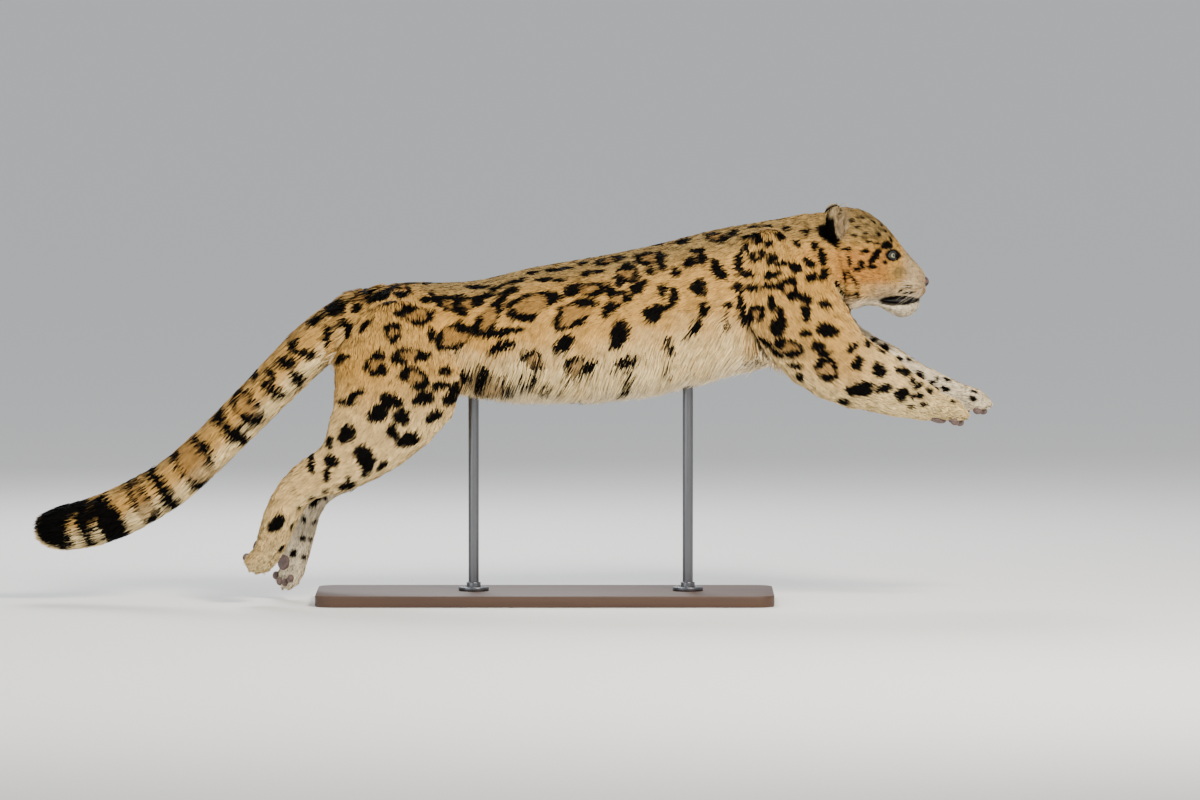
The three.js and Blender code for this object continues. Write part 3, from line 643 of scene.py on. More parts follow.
def place_matrix(axes, at):
    """The matrix that puts a piece modelled at the origin into a frame, in metres."""
    turned = Matrix(np.stack(axes, 1).tolist()).to_4x4()
    return Matrix.Translation(Vector(at) * MM) @ turned


# Markings


class Mark:
    """One dark mark: where it is on the skin, how wide and long it is, and what kind."""

    def __init__(self, centre, normal, along, wide, long, kind):
        self.centre, self.normal, self.along = centre, normal, along
        self.wide, self.long, self.kind = wide, long, kind
        self.phase = rng.uniform(0, 2 * math.pi, 3)


class Skin:
    """The finished skin, to drop marks and tufts on, with its unwrap."""

    def __init__(self, obj):
        self.points, self.normals, self.fields = fields_of(obj)
        self.triangles, self.places = triangles_of(obj)
        self.tree = BVHTree.FromPolygons(
            [tuple(p) for p in self.points.tolist()], [tuple(t) for t in self.triangles.tolist()]
        )

    def mark_on(self, spot, normal, along, wide, long, kind):
        """A mark at a point of the skin, long along the way given."""
        normal = np.array(normal)
        along = np.array(along) - normal * (np.array(along) @ normal)
        return Mark(np.array(spot), normal, along / np.linalg.norm(along), wide * MM, long * MM, kind)

    def mark_at(self, place, wide, long, kind, along=None):
        """A mark on the skin's nearest point to place, long along the coat's lie unless another way is given."""
        spot, normal, face, _ = self.tree.find_nearest(Vector(place))
        lie = self.fields.lie[self.triangles[face][0]] if along is None else along
        return self.mark_on(spot, normal, lie, wide, long, kind)

    def mark_seen_at(self, px, py, wide, long, tilt, kind):
        """(a mark where the photo's camera sees it, the limb it is on, its share along it, its angle round it)."""
        x, z = photo_xz(px, py)
        spot, normal, face, _ = self.tree.ray_cast(Vector((x, 0, z)) - 2 * SIGHT, SIGHT)
        if spot is None:
            spot, normal, face, _ = self.tree.find_nearest(Vector((x, -0.1, z)))
        corner = self.triangles[face][0]
        limb = int(self.fields.limb[corner])
        turned = math.radians(tilt)
        along = Vector((math.cos(turned), 0, math.sin(turned)))
        mark = self.mark_on(spot, normal, along, wide, long, kind)
        return mark, limb, self.fields.share[corner, limb], self.fields.angle[corner, limb]


def place_on(limb, share, angle):
    """The point at a share along a limb's line and an angle round it."""
    k = int(np.searchsorted(limb.reach, np.clip(share, 0, 1) * limb.length).clip(0, len(limb.reach) - 1))
    above = np.cross(limb.along[k], [0, 1, 0])
    out = np.array([0, limb.wide[k] * math.sin(angle), 0]) + above * limb.high[k] * math.cos(angle)
    return limb.centre[k] + out


def mirrored(skin, mark, limb, share, angle):
    """The mark's fellow on the animal's other side, a little changed as a real one is."""
    grow = rng.uniform(0.85, 1.15)
    along = mark.along * [1, -1, 1]
    if LIMBS[limb].name.endswith("_right"):
        other = LIMBS[LIMB_INDEX[LIMBS[limb].name.replace("_right", "_left")]]
        place = place_on(other, share + rng.uniform(-0.01, 0.01), -angle + rng.uniform(-0.12, 0.12))
    else:
        place = mark.centre * [1, -1, 1] + rng.uniform(-1, 1, 3) * FAR_JITTER
    return skin.mark_at(place, mark.wide / MM * grow, mark.long / MM * grow, mark.kind, along)


def body_marks(skin):
    """Every mark of the body: the right side's as the photo shows them, their fellows, and the hidden inner ones."""
    marks = []
    per_px = PHOTO["mm_per_px"] * MARK_GROWTH
    for rows in NEAR_MARKS.values():
        for px, py, long, wide, tilt, kind in rows:
            kind = "ring" if kind == "r" else "spot"
            size = (wide * per_px, long * per_px)
            mark, limb, share, angle = skin.mark_seen_at(px, py, *size, tilt, kind)
            marks.append(mark)
            marks.append(mirrored(skin, mark, limb, share, angle))
    for word, side in (("right", -1), ("left", 1)):
        for name, first, last, count in INNER_SPOTS:
            limb = LIMBS[LIMB_INDEX[f"{name}_{word}"]]
            for i in range(count):
                share = first + (last - first) * (i + rng.uniform(-0.3, 0.3)) / (count - 1)
                for turn in (-35, -75, 35):
                    angle = math.radians(side * turn + rng.uniform(-12, 12))
                    size = rng.uniform(5, 8)
                    marks.append(skin.mark_at(place_on(limb, share, angle), size, size * 1.3, "spot"))
    return marks


def darkness(points, normals, marks):
    """How dark the marks make each point, and how much it lies inside a rosette."""
    dark = np.zeros(len(points))
    inside = np.zeros(len(points))
    for mark in marks:
        reach = 1.6 * max(mark.wide, mark.long)
        near = np.flatnonzero(np.abs(points - mark.centre).max(1) < reach)
        if not len(near):
            continue
        away = points[near] - mark.centre
        facing = normals[near] @ mark.normal > 0.05
        along = away @ mark.along / mark.long
        across = away @ np.cross(mark.normal, mark.along) / mark.wide
        angle = np.arctan2(across, along)
        p = mark.phase
        wobble = 1 + 0.13 * np.sin(2 * angle + p[0]) + 0.09 * np.sin(3 * angle + p[1]) + 0.05 * np.sin(7 * angle + p[2])
        out = np.hypot(along, across) / wobble
        size = math.sqrt(mark.wide * mark.long)
        soft = MARK_EDGE * MM / size
        if mark.kind == "spot":
            mask = smooth_step(1 + soft, 1 - soft, out)
        else:
            thick = RING_THICK * MM / size * (1 + 0.45 * np.sin(3 * angle + p[2]) + 0.35 * np.sin(2 * angle + p[0]))
            ring = np.abs(out - 0.8) - np.minimum(thick, 0.5)
            mask = smooth_step(soft, -soft, ring) * smooth_step(0.02, 0.1, thick)
            filled = smooth_step(1.0, 0.6, out) * facing
            inside[near] = np.maximum(inside[near], filled)
        dark[near] = np.maximum(dark[near], mask * facing)
    return dark, inside


def blend(a, b, share):
    """Colours a and b mixed by share."""
    return a + (b - a) * share[:, None]


def coat_colour(points, normals, fields, marks):
    """The coat's colour at each point, for skin and tufts alike."""
    x, y, z = points.T
    shares = {name: fields.weight[:, i] for name, i in LIMB_INDEX.items()}
    head, tail, trunk = shares["head"], shares["tail"], shares["trunk"]
    legs = 1 - head - tail - trunk
    up = normals[:, 2]
    round_trunk = np.degrees(np.abs(fields.angle[:, LIMB_INDEX["trunk"]]))
    colour = np.tile(linear(OCHRE), (len(points), 1))
    colour = blend(colour, linear(GOLD), smooth_step(-0.2, 1, wave(points, 0.09)) * 0.5)
    # Darker along the top of the back and tail: the coat's greyer back, made darker still as painted shade for the
    # tops, which the light leaves in shade
    colour = blend(colour, linear(BACK_TONE_AND_SHADE), trunk * smooth_step(62, 22, round_trunk) * 0.85)
    colour = blend(colour, linear(BACK_TONE_AND_SHADE), tail * smooth_step(0.2, 0.9, up) * 0.55)
    streak = round_trunk + 9 * wave(points, 0.03)
    colour = blend(colour, linear(CREAM), trunk * smooth_step(88, 132, streak) * 0.9)
    colour = blend(colour, linear(WHITE), trunk * smooth_step(128, 160, streak) * 0.7)
    colour = blend(colour, linear(CREAM), tail * smooth_step(0.1, -0.4, up))
    colour = blend(colour, linear(CREAM), legs * smooth_step(0.50, 0.36, z) * 0.5)
    fore = shares["foreleg_right"] + shares["foreleg_left"]
    colour = blend(colour, linear(CREAM), fore * smooth_step(0.60, 0.74, x) * 0.75)
    colour = blend(colour, linear(CREAM), legs * smooth_step(0.1, -0.6, up) * smooth_step(0.62, 0.5, z) * 0.8)
    inner = smooth_step(0.1, -0.5, normals[:, 1] * np.sign(y)) * legs
    colour = blend(colour, linear(WHITE), inner * 0.85)
    colour = head_colour(colour, points, up, head)
    dark, inside = darkness(points, normals, marks)
    colour = blend(colour, linear(ROSETTE), inside * 0.6)
    share = fields.share[:, LIMB_INDEX["tail"]]
    tip = tail * smooth_step(0.93, 0.97, share) * smooth_step(-0.25, 0.2, up)
    dark = np.maximum(dark, tip)
    return np.clip(blend(colour, linear(DARK), dark), 0, 1)


def head_colour(colour, points, up, head):
    """The head's ground colours: freckled crown, warm cheeks, pale muzzle and chin, dark lips and eye rims, and a dark
    line below the nose as painted shade for the philtrum's groove.
    """
    x, y, z = points.T
    wide = np.abs(y)
    from_eye = points / MM - np.array(EYE["at"]) * np.stack([np.ones_like(y), np.sign(y), np.ones_like(y)], 1)
    from_eye[:, 1] *= np.sign(y)
    cheek = smooth_step(0.735, 0.70, x) * smooth_step(0.66, 0.68, z) * smooth_step(0.76, 0.73, z)
    colour = blend(colour, linear(RUST), head * cheek * 0.6)
    colour = blend(colour, linear(BACK_TONE_AND_SHADE), head * smooth_step(0.745, 0.78, z) * 0.85)
    freckle = smooth_step(0.1, 0.6, wave(points, 0.010)) * smooth_step(0.735, 0.76, z)
    colour = blend(colour, linear(DARK), head * freckle * 0.5)
    muzzle = smooth_step(0.738, 0.768, x) + smooth_step(0.685, 0.655, z) * smooth_step(0.64, 0.72, x)
    colour = blend(colour, linear(MUZZLE), head * np.clip(muzzle, 0, 1) * 0.9)
    grey = np.linalg.norm((from_eye - [22, 6, -34]) / [19, 24, 14], axis=1)
    colour = blend(colour, linear(BACK_TONE_AND_SHADE), head * smooth_step(1.3, 0.5, grey) * 0.7)
    bridge = smooth_step(0.022, 0.012, wide) * smooth_step(0.735, 0.76, x) * smooth_step(0.69, 0.71, z)
    colour = blend(colour, linear(BACK_TONE_AND_SHADE), head * bridge * 0.4)
    colour = blend(colour, linear(WHITE), head * smooth_step(0.652, 0.632, z) * 0.9)
    under = np.linalg.norm((from_eye - [-16, 8, -14]) / [16, 12, 9], axis=1)
    above = np.linalg.norm((from_eye - [-2, 0, 14]) / [12, 12, 5], axis=1)
    for patch in (under, above):
        colour = blend(colour, linear(CREAM), head * smooth_step(1.3, 0.7, patch) * 0.8)
    tear = np.linalg.norm((from_eye - [15, -12, -10]) / [6, 7, 9], axis=1)
    rim = np.maximum(smooth_step(1.95, 1.5, eye_distance(points)), smooth_step(1.2, 0.8, tear))
    colour = blend(colour, linear(LIP), head * rim)
    lips = smooth_step(1.15, 0.9, mouth_distance(points, MOUTH["lip"]))
    # A thin dark line down the middle below the nose: painted shade for the philtrum's groove
    philtrum_shade = smooth_step(0.0018, 0.0008, wide) * smooth_step(0.786, 0.79, x) * smooth_step(0.684, 0.68, z)
    return blend(colour, linear(LIP), head * np.maximum(lips, philtrum_shade))


# Tufts


def scatter(points, triangles, faces, count, favour=1.0):
    """(weights, faces) of roots spread evenly over some faces, or more thickly where favour is high."""
    corners = points[triangles[faces]]
    area = np.linalg.norm(np.cross(corners[:, 1] - corners[:, 0], corners[:, 2] - corners[:, 0]), axis=1) * favour
    pick = rng.choice(len(faces), count, p=area / area.sum())
    a, b = rng.random((2, count))
    flip = a + b > 1
    a[flip], b[flip] = 1 - a[flip], 1 - b[flip]
    return np.stack([1 - a - b, a, b], 1), faces[pick]


def at_roots(weights, values):
    """Values of three corners blended at each root."""
    return np.einsum("nk,nkd->nd", weights, values)


def coat_piece(name, skin, marks, material):
    """The tufts of one limb as one mesh."""
    limb = LIMB_INDEX[name]
    faces = np.flatnonzero(skin.fields.limb[skin.triangles[:, 0]] == limb)
    front = skin.points[skin.triangles[faces, 0], 0]
    favour = 1 + 1.6 * smooth_step(0.68, 0.76, front) if name == "head" else 1.0
    weights, faces = scatter(skin.points, skin.triangles, faces, COAT[name]["tufts"], favour)
    corners = skin.triangles[faces]
    root = at_roots(weights, skin.points[corners])
    bare = (mouth_distance(root, 0.5) < 1) | near_eye(root)
    weights, faces, corners, root = weights[~bare], faces[~bare], corners[~bare], root[~bare]
    normal = unit(at_roots(weights, skin.normals[corners]))
    lie = at_roots(weights, skin.fields.lie[corners])
    fields = Fields(root, normal)
    sizes = tuft_sizes(name, root, normal, fields)
    seen = root + unit(lie) * (sizes[0] * SEEN_AT)[:, None]
    colour = coat_colour(seen, normal, fields, marks)
    place = at_roots(weights, skin.places[faces])
    together = 0.55 if name in ("trunk", "tail") else 0.4
    tufts(f"coat_{name}", root, normal, lie, sizes, colour, place, material, together)


def tufts(name, root, normal, lie, sizes, colour, place, material, together):
    """Tufts of three triangles each, bent towards the skin and gathered in clumps, in pieces along the body."""
    count = len(root)
    lie = unit(lie - normal * np.einsum("ij,ij->i", lie, normal)[:, None])
    swing = rng.normal(0, 0.16, count) + 0.22 * wave(root, 0.045)
    lie = lie * np.cos(swing)[:, None] + np.cross(normal, lie) * np.sin(swing)[:, None]
    long, wide, lift = sizes
    long = long * rng.uniform(0.75, 1.2, count)
    wide = wide * rng.uniform(0.75, 1.2, count)
    lift = lift * rng.uniform(0.6, 1.4, count)
    rise = lie * np.cos(lift)[:, None] + normal * np.sin(lift)[:, None]
    settle_back = lie * np.cos(lift * 0.25)[:, None] + normal * np.sin(lift * 0.25)[:, None]
    middle = root + rise * (long * 0.5)[:, None]
    tip = middle + settle_back * (long * 0.5)[:, None]
    clump = clumps(root, CLUMP * MM)
    tip += gather(clump, tip) * together
    roll = rng.uniform(-0.7, 0.7, count)
    flat = unit(np.cross(normal, lie)) * np.cos(roll)[:, None] + normal * np.sin(roll)[:, None]
    half = (wide / 2)[:, None] * flat
    sunk = root - normal * ROOT_SINK * MM
    vertices = np.stack([sunk - half * 0.7, sunk + half * 0.7, middle - half, middle + half, tip], 1)
    # Random brightness per tuft and per clump, the clumps' part painted light and shade between the locks; then darker
    # roots as painted shade and lighter tips as painted light
    bright = 1 + rng.normal(0, 0.07, count) + rng.normal(0, CLUMP_SHADE, clump.max() + 1)[clump]
    colour = colour * bright[:, None]
    tint = np.clip(colour[:, None, :] * np.array(TUFT_SHADE)[None, :, None], 0, 1)
    patch = np.array([[-1, -1], [1, -1], [-1, 0], [1, 0], [0, 1]]) * BAKE_PATCH / 2
    places = place[:, None, :] + patch[None]
    lengths = np.array_split(np.argsort(root[:, 0]), math.ceil(count / PIECE_TUFTS))
    for k, part in enumerate(lengths):
        piece = name if len(lengths) == 1 else f"{name}_{k + 1}"
        blades(piece, vertices[part], tint[part], places[part], material)


def mouth_distance(points, margin=0.0):
    """How far each point is from the mouth's slit: 1 on its edge, less inside. A margin in mm widens it."""
    x = (points[:, 0] / MM - MOUTH["at"][0]) / (MOUTH["half"][0] + margin)
    z = (points[:, 2] / MM - MOUTH["at"][1]) / (MOUTH["half"][1] + margin)
    return np.hypot(x, z)


def eye_distance(points):
    """How far each point is from the nearer eye's opening: 1 on its rim, less inside."""
    nearest = np.full(len(points), 9.0)
    for side in (-1, 1):
        across, above, gaze = eye_axes(side)
        away = points / MM - np.array(EYE["at"]) * [1, side, 1]
        x, y = away @ across / LIDS["wide"], away @ above / LIDS["high"]
        ahead = away @ gaze > 0
        nearest = np.where(ahead & (np.hypot(x, y) < nearest), np.hypot(x, y), nearest)
    return nearest


def near_eye(points):
    """Whether each point lies in an eye's opening or under its lids."""
    return eye_distance(points) < 1.12


def tuft_sizes(name, root, normal, fields):
    """Length, width and lift of each tuft, by where it grows."""
    sizes = COAT[name]
    count = len(root)
    long = np.full(count, sizes["long"] * MM)
    wide = np.full(count, sizes["wide"] * MM)
    lift = np.full(count, math.radians(sizes["lift"]))
    share = fields.share[:, LIMB_INDEX[name]]
    if name == "trunk":
        belly = smooth_step(0.1, -0.6, normal[:, 2]) * smooth_step(-0.33, -0.12, root[:, 0])
        long *= 1 + 1.9 * belly
        wide *= 1 + 0.2 * belly
        lift *= 1 + 1.4 * belly
    if name == "head":
        face = smooth_step(0.66, 0.74, root[:, 0])
        long *= 1.25 - 0.75 * face
        wide *= 1.1 - 0.45 * face
        cheek = smooth_step(0.685, 0.65, root[:, 2]) * smooth_step(0.70, 0.66, root[:, 0])
        long *= 1 + 0.9 * cheek
        lift *= 1 + 0.6 * cheek
    if name.startswith(("foreleg", "hindleg")):
        foot = smooth_step(0.72, 0.92, share)
        long *= 1.15 - 0.6 * foot
        wide *= 1.1 - 0.35 * foot
    if name == "tail":
        lift *= 1 - 0.8 * smooth_step(0.93, 1.0, share)
    return long, wide, lift


def wave(points, size):
    """A soft wave over the skin, from -1 to 1."""
    a = np.sin(points @ np.array([1.0, 0.7, 0.4]) / size * 2.1 + 1.3)
    b = np.sin(points @ np.array([-0.5, 1.1, 0.9]) / size * 1.7 + 4.1)
    c = np.sin(points @ np.array([0.3, -0.8, 1.3]) / size * 2.9 + 2.2)
    return (a + b + c) / 3


def clumps(roots, size):
    """The number of the clump each root belongs to."""
    warped = roots + 0.4 * size * np.stack([wave(roots + shift, 0.02) for shift in (0, 7, 13)], 1)
    cell = np.floor(warped / size).astype(np.int64) + 4000
    key = (cell[:, 0] * 8000 + cell[:, 1]) * 8000 + cell[:, 2]
    return np.unique(key, return_inverse=True)[1]


def gather(clump, tips):
    """How far each tip lies from the middle of its clump's tips."""
    total = np.bincount(clump)
    middle = np.stack([np.bincount(clump, tips[:, k]) / total for k in range(3)], 1)
    return middle[clump] - tips


def blades(name, vertices, tint, places, material):
    """A mesh of blades, each of five vertices, a quad and a triangle."""
    count = len(vertices)
    start = (np.arange(count) * 5)[:, None]
    loops = (start + np.array([0, 1, 3, 2, 2, 3, 4])).ravel()
    mesh = bpy.data.meshes.new(name)
    mesh.vertices.add(count * 5)
    mesh.vertices.foreach_set("co", vertices.astype(np.float32).ravel())
    mesh.loops.add(count * 7)
    mesh.loops.foreach_set("vertex_index", loops.astype(np.int32))
    mesh.polygons.add(count * 2)
    first = (np.arange(count) * 7)[:, None] + np.array([0, 4])
    mesh.polygons.foreach_set("loop_start", first.ravel().astype(np.int32))
    mesh.update(calc_edges=True)
    paint(mesh, tint.reshape(-1, 3))
    uv = mesh.uv_layers.new(name="OFBake")
    uv.data.foreach_set("uv", places.reshape(-1, 2)[loops].astype(np.float32).ravel())
    mesh.polygons.foreach_set("use_smooth", np.ones(count * 2, bool))
    obj = bpy.data.objects.new(name, mesh)
    bpy.context.scene.collection.objects.link(obj)
    return dress(obj, material)


def paint(mesh, colours):
    """Keeps colours, one a vertex, as the mesh's tint."""
    tint = mesh.color_attributes.new("tint", "FLOAT_COLOR", "POINT")
    full = np.concatenate([colours, np.ones((len(colours), 1))], 1)
    tint.data.foreach_set("color", full.astype(np.float32).ravel())


# Materials


def new_material(name):
    """(material, its nodes, its links, its Principled BSDF)."""
    material = bpy.data.materials.new(name)
    material.use_nodes = True
    nodes, links = material.node_tree.nodes, material.node_tree.links
    return material, nodes, links, nodes["Principled BSDF"]


def fur_variation():
    """A node group: small changes of brightness over a coat, by place."""
    group = bpy.data.node_groups.new("fur_variation", "ShaderNodeTree")
    for name, kind in (("Color", "NodeSocketColor"), ("Scale", "NodeSocketFloat"), ("Amount", "NodeSocketFloat")):
        group.interface.new_socket(name=name, in_out="INPUT", socket_type=kind)
    group.interface.new_socket(name="Color", in_out="OUTPUT", socket_type="NodeSocketColor")
    nodes, links = group.nodes, group.links
    ins, outs = nodes.new("NodeGroupInput"), nodes.new("NodeGroupOutput")
    place, noise = nodes.new("ShaderNodeTexCoord"), nodes.new("ShaderNodeTexNoise")
    spread, mix = nodes.new("ShaderNodeMapRange"), nodes.new("ShaderNodeMix")
    lower = nodes.new("ShaderNodeMath")
    lower.operation = "SUBTRACT"
    lower.inputs[0].default_value = 1.0
    mix.data_type, mix.blend_type = "RGBA", "MULTIPLY"
    mix.inputs["Factor"].default_value = 1.0
    links.new(place.outputs["Object"], noise.inputs["Vector"])
    links.new(ins.outputs["Scale"], noise.inputs["Scale"])
    links.new(noise.outputs["Fac"], spread.inputs["Value"])
    links.new(ins.outputs["Amount"], lower.inputs[1])
    links.new(lower.outputs[0], spread.inputs["To Min"])
    spread.inputs["From Min"].default_value = 0.3
    spread.inputs["From Max"].default_value = 0.6
    links.new(ins.outputs["Color"], mix.inputs["A"])
    links.new(spread.outputs["Result"], mix.inputs["B"])
    links.new(mix.outputs["Result"], outs.inputs["Color"])
    return group


FUR_GROUP = fur_variation()


def coat_material(name, scale, amount):
    """Fur: the coat's tint with small changes, and no shine."""
    material, nodes, links, shader = new_material(name)
    tint, vary = nodes.new("ShaderNodeAttribute"), nodes.new("ShaderNodeGroup")
    tint.attribute_name = "tint"
    vary.node_tree = FUR_GROUP
    vary.inputs["Scale"].default_value = scale
    vary.inputs["Amount"].default_value = amount
    links.new(tint.outputs["Color"], vary.inputs["Color"])
    links.new(vary.outputs["Color"], shader.inputs["Base Color"])
    shader.inputs["Roughness"].default_value = 0.75
    shader.inputs["Specular IOR Level"].default_value = 0.06
    return material


def plain_material(name, colour, roughness, metallic=0.0, coat=0.0):
    """One colour with a finish of its own."""
    material, _, _, shader = new_material(name)
    shader.inputs["Base Color"].default_value = (*linear(colour), 1)
    shader.inputs["Roughness"].default_value = roughness
    shader.inputs["Metallic"].default_value = metallic
    shader.inputs["Coat Weight"].default_value = coat
    return material


def painted_material(name, roughness, coat=0.0):
    """A smooth finish in the piece's own tint."""
    material, nodes, links, shader = new_material(name)
    tint = nodes.new("ShaderNodeAttribute")
    tint.attribute_name = "tint"
    links.new(tint.outputs["Color"], shader.inputs["Base Color"])
    shader.inputs["Roughness"].default_value = roughness
    shader.inputs["Coat Weight"].default_value = coat
    return material


def mottled_material(name, colours, scale, stretch, roughness, metallic=0.0, bump=0.2):
    """Two colours mixed by noise, drawn out along each axis by stretch, with a bump to match."""
    material, nodes, links, shader = new_material(name)
    place, mapping = nodes.new("ShaderNodeTexCoord"), nodes.new("ShaderNodeMapping")
    noise, mix = nodes.new("ShaderNodeTexNoise"), nodes.new("ShaderNodeMix")
    relief = nodes.new("ShaderNodeBump")
    mapping.inputs["Scale"].default_value = stretch
    noise.inputs["Scale"].default_value = scale
    noise.inputs["Detail"].default_value = 6
    mix.data_type = "RGBA"
    for socket, colour in zip(("A", "B"), colours):
        mix.inputs[socket].default_value = (*linear(colour), 1)
    relief.inputs["Strength"].default_value = bump
    relief.inputs["Distance"].default_value = MM
    links.new(place.outputs["Object"], mapping.inputs["Vector"])
    links.new(mapping.outputs["Vector"], noise.inputs["Vector"])
    links.new(noise.outputs["Fac"], mix.inputs["Factor"])
    links.new(noise.outputs["Fac"], relief.inputs["Height"])
    links.new(mix.outputs["Result"], shader.inputs["Base Color"])
    links.new(relief.outputs["Normal"], shader.inputs["Normal"])
    shader.inputs["Roughness"].default_value = roughness
    shader.inputs["Metallic"].default_value = metallic
    return material


# The face's own pieces


def ball(name, radii, matrix, segments=48, rings=32):
    """An ellipsoid of three half sizes in millimetres, set in a frame."""
    bpy.ops.object.select_all(action="DESELECT")
    bpy.ops.mesh.primitive_uv_sphere_add(segments=segments, ring_count=rings, radius=1)
    obj = bpy.context.active_object
    obj.data.transform(matrix @ Matrix.Diagonal((*[r * MM for r in radii], 1)))
    obj.name = name
    bpy.ops.object.shade_smooth()
    return obj


def cut(obj, tool):
    """Takes a closed tool out of a piece."""
    apply_modifier(obj, "BOOLEAN", operation="DIFFERENCE", object=tool, solver="EXACT")
    bpy.data.objects.remove(tool)


def tube(name, points, radii, closed=False, sides=3):
    """A round tube through points, in metres, as a mesh. Radii are in millimetres."""
    bpy.ops.object.select_all(action="DESELECT")
    bpy.ops.curve.primitive_nurbs_path_add()
    obj = bpy.context.active_object
    curve = obj.data
    curve.splines.clear()
    spline = curve.splines.new("POLY")
    spline.points.add(len(points) - 1)
    for knot, point, radius in zip(spline.points, points, radii):
        knot.co = (*point, 1)
        knot.radius = radius
    spline.use_cyclic_u = closed
    curve.bevel_depth = MM
    curve.bevel_resolution = sides
    curve.use_fill_caps = not closed
    bpy.ops.object.convert(target="MESH")
    obj.name = name
    bpy.ops.object.shade_smooth()
    return obj


def make_eye(side, word, material):
    """An eyeball with a round pupil in a pale iris, and its glossy front."""
    across, above, gaze = eye_axes(side)
    matrix = place_matrix((across, above, gaze), np.array(EYE["at"]) * [1, side, 1])
    eye = ball(f"eyeball_{word}", [EYE["radius"]] * 3, matrix, 64, 120)
    points = vertex_array(eye.data) / MM - np.array(EYE["at"]) * [1, side, 1]
    off = np.linalg.norm(points - np.outer(points @ gaze, gaze), axis=1)
    off[points @ gaze < 0] = 2 * EYE["radius"]
    angle = np.arctan2(points @ above, points @ across)
    fibres = 0.5 + 0.5 * np.sin(angle * 47 + 3 * np.sin(angle * 11))
    ring = smooth_step(EYE["pupil"], EYE["iris"], off)
    colour = blend(np.tile(linear(IRIS), (len(off), 1)), linear(IRIS_RIM), ring**2 * 0.8)
    colour = blend(colour, linear(IRIS_RIM), fibres * 0.3)
    colour = blend(colour, linear(EYE_BROWN), smooth_step(EYE["iris"] - 0.7, EYE["iris"] + 0.3, off))
    colour = blend(colour, linear((6, 6, 6)), smooth_step(EYE["pupil"] + 0.3, EYE["pupil"] - 0.3, off))
    paint(eye.data, colour)
    settle(eye, eye.name)
    dress(eye, material)
    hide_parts(f"eye_{word}")
    return eye


def make_lids(side, word, material):
    """The two lids as one dark rim that rests on the eyeball, drawn in to a point at both corners."""
    across, above, gaze = eye_axes(side)
    centre = np.array(EYE["at"]) * [1, side, 1]
    rest = EYE["radius"] + LIDS["lift"]
    points, radii = [], []
    for angle in np.linspace(0, 2 * math.pi, 64, endpoint=False):
        x = LIDS["wide"] * math.cos(angle)
        y = LIDS["high"] * math.sin(angle) * (1 - 0.35 * math.cos(angle) ** 2)
        inner = side * across[0] * x
        y -= 2.0 * smooth_step(0.4, 1.0, np.array(x * np.sign(across[0]) / LIDS["wide"]))
        out = math.sqrt(max(rest**2 - x * x - y * y, 16.0))
        points.append((centre + across * x + above * y + gaze * out) * MM)
        radii.append(LIDS["thick"] * (0.75 + 0.25 * abs(math.sin(angle))))
    lids = tube(f"lids_{word}", points, radii, closed=True)
    settle(lids, lids.name)
    return dress(lids, material)


def make_nose(material):
    """The nose leather, narrower below, with two nostrils and a groove between them."""
    x, y, z = NOSE["at"]
    nose = ball("nose_leather", NOSE["size"], Matrix.Translation(Vector((x, y, z)) * MM))
    points = vertex_array(nose.data)
    low = smooth_step(z + 3, z - NOSE["size"][2], points[:, 2] / MM)
    points[:, 1] *= 1 - 0.5 * low
    points[:, 0] -= 4 * MM * low
    nose.data.vertices.foreach_set("co", points.ravel())
    for side in (-1, 1):
        at = np.array(NOSTRIL["at"]) * [1, side, 1]
        turned = Matrix.Rotation(math.radians(side * NOSTRIL["turn"]), 4, "X")
        cut(nose, ball("nostril", NOSTRIL["size"], Matrix.Translation(Vector(at) * MM) @ turned, 20, 12))
    groove = ball("groove", (3, 0.8, 14), Matrix.Translation(Vector((x + 6.5, 0, z - 8)) * MM), 20, 12)
    cut(nose, groove)
    points = vertex_array(nose.data)
    # Dark in and around the nostrils: painted shade inside their hollows
    dark = np.zeros(len(points))
    for side in (-1, 1):
        away = (points / MM - np.array(NOSTRIL["at"]) * [1, side, 1]) / (np.array(NOSTRIL["size"]) + 1.2)
        dark = np.maximum(dark, smooth_step(1.15, 0.85, np.linalg.norm(away, axis=1)))
    edge = smooth_step(4, 9, np.abs(points[:, 2] / MM - z))
    dark = np.maximum(dark, 0.55 * edge)
    paint(nose.data, blend(np.tile(linear(LEATHER), (len(points), 1)), linear(LIP), dark))
    settle(nose, nose.name)
    dress(nose, material)
    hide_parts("nose")
    return nose


def make_mouth_shade(material):
    """A dark ball a little way in behind the lips: painted shade for the inside of the mouth."""
    x, z = MOUTH["at"]
    mouth_shade_ball = ball("mouth_lining", (54, 31, 12), Matrix.Translation(Vector((x - 16, 0, z)) * MM))
    settle(mouth_shade_ball, mouth_shade_ball.name)
    return dress(mouth_shade_ball, material)


def make_whiskers(side, word, material):
    """Pale whiskers in rows on one side of the muzzle, each an arc that thins to its tip."""
    made = []
    x0, y0, z0 = WHISKERS["from"]
    dx, dy, dz = WHISKERS["step"]
    for row in range(WHISKERS["rows"]):
        for column in range(WHISKERS["columns"]):
            root = np.array([x0 + dx * column, y0 + dy * column, z0 + dz * row - 1.2 * column])
            spot, normal, _, _ = skin.tree.find_nearest(Vector((root[0], side * root[1], root[2])) * MM)
            length = rng.uniform(*WHISKERS["long"]) * (1 - 0.12 * column)
            out = np.array(normal) * 0.7 + np.array([-0.8, side * 0.4, 0.25 - 0.1 * row])
            out = unit((out + rng.normal(0, 0.06, 3))[None])[0]
            sag = np.array([-0.35, 0, -0.25 + 0.25 * rng.uniform(-1, 1)])
            points, radii = [], []
            for t in np.linspace(0, 1, 12):
                points.append(np.array(spot) + (out * t + sag * 0.35 * t * t) * length * MM)
                radii.append(WHISKERS["thick"] * (1 - 0.88 * t))
            made.append(tube("whisker", points, radii, sides=1))
    whiskers = joined(made)
    settle(whiskers, f"whiskers_{word}")
    return dress(whiskers, material)


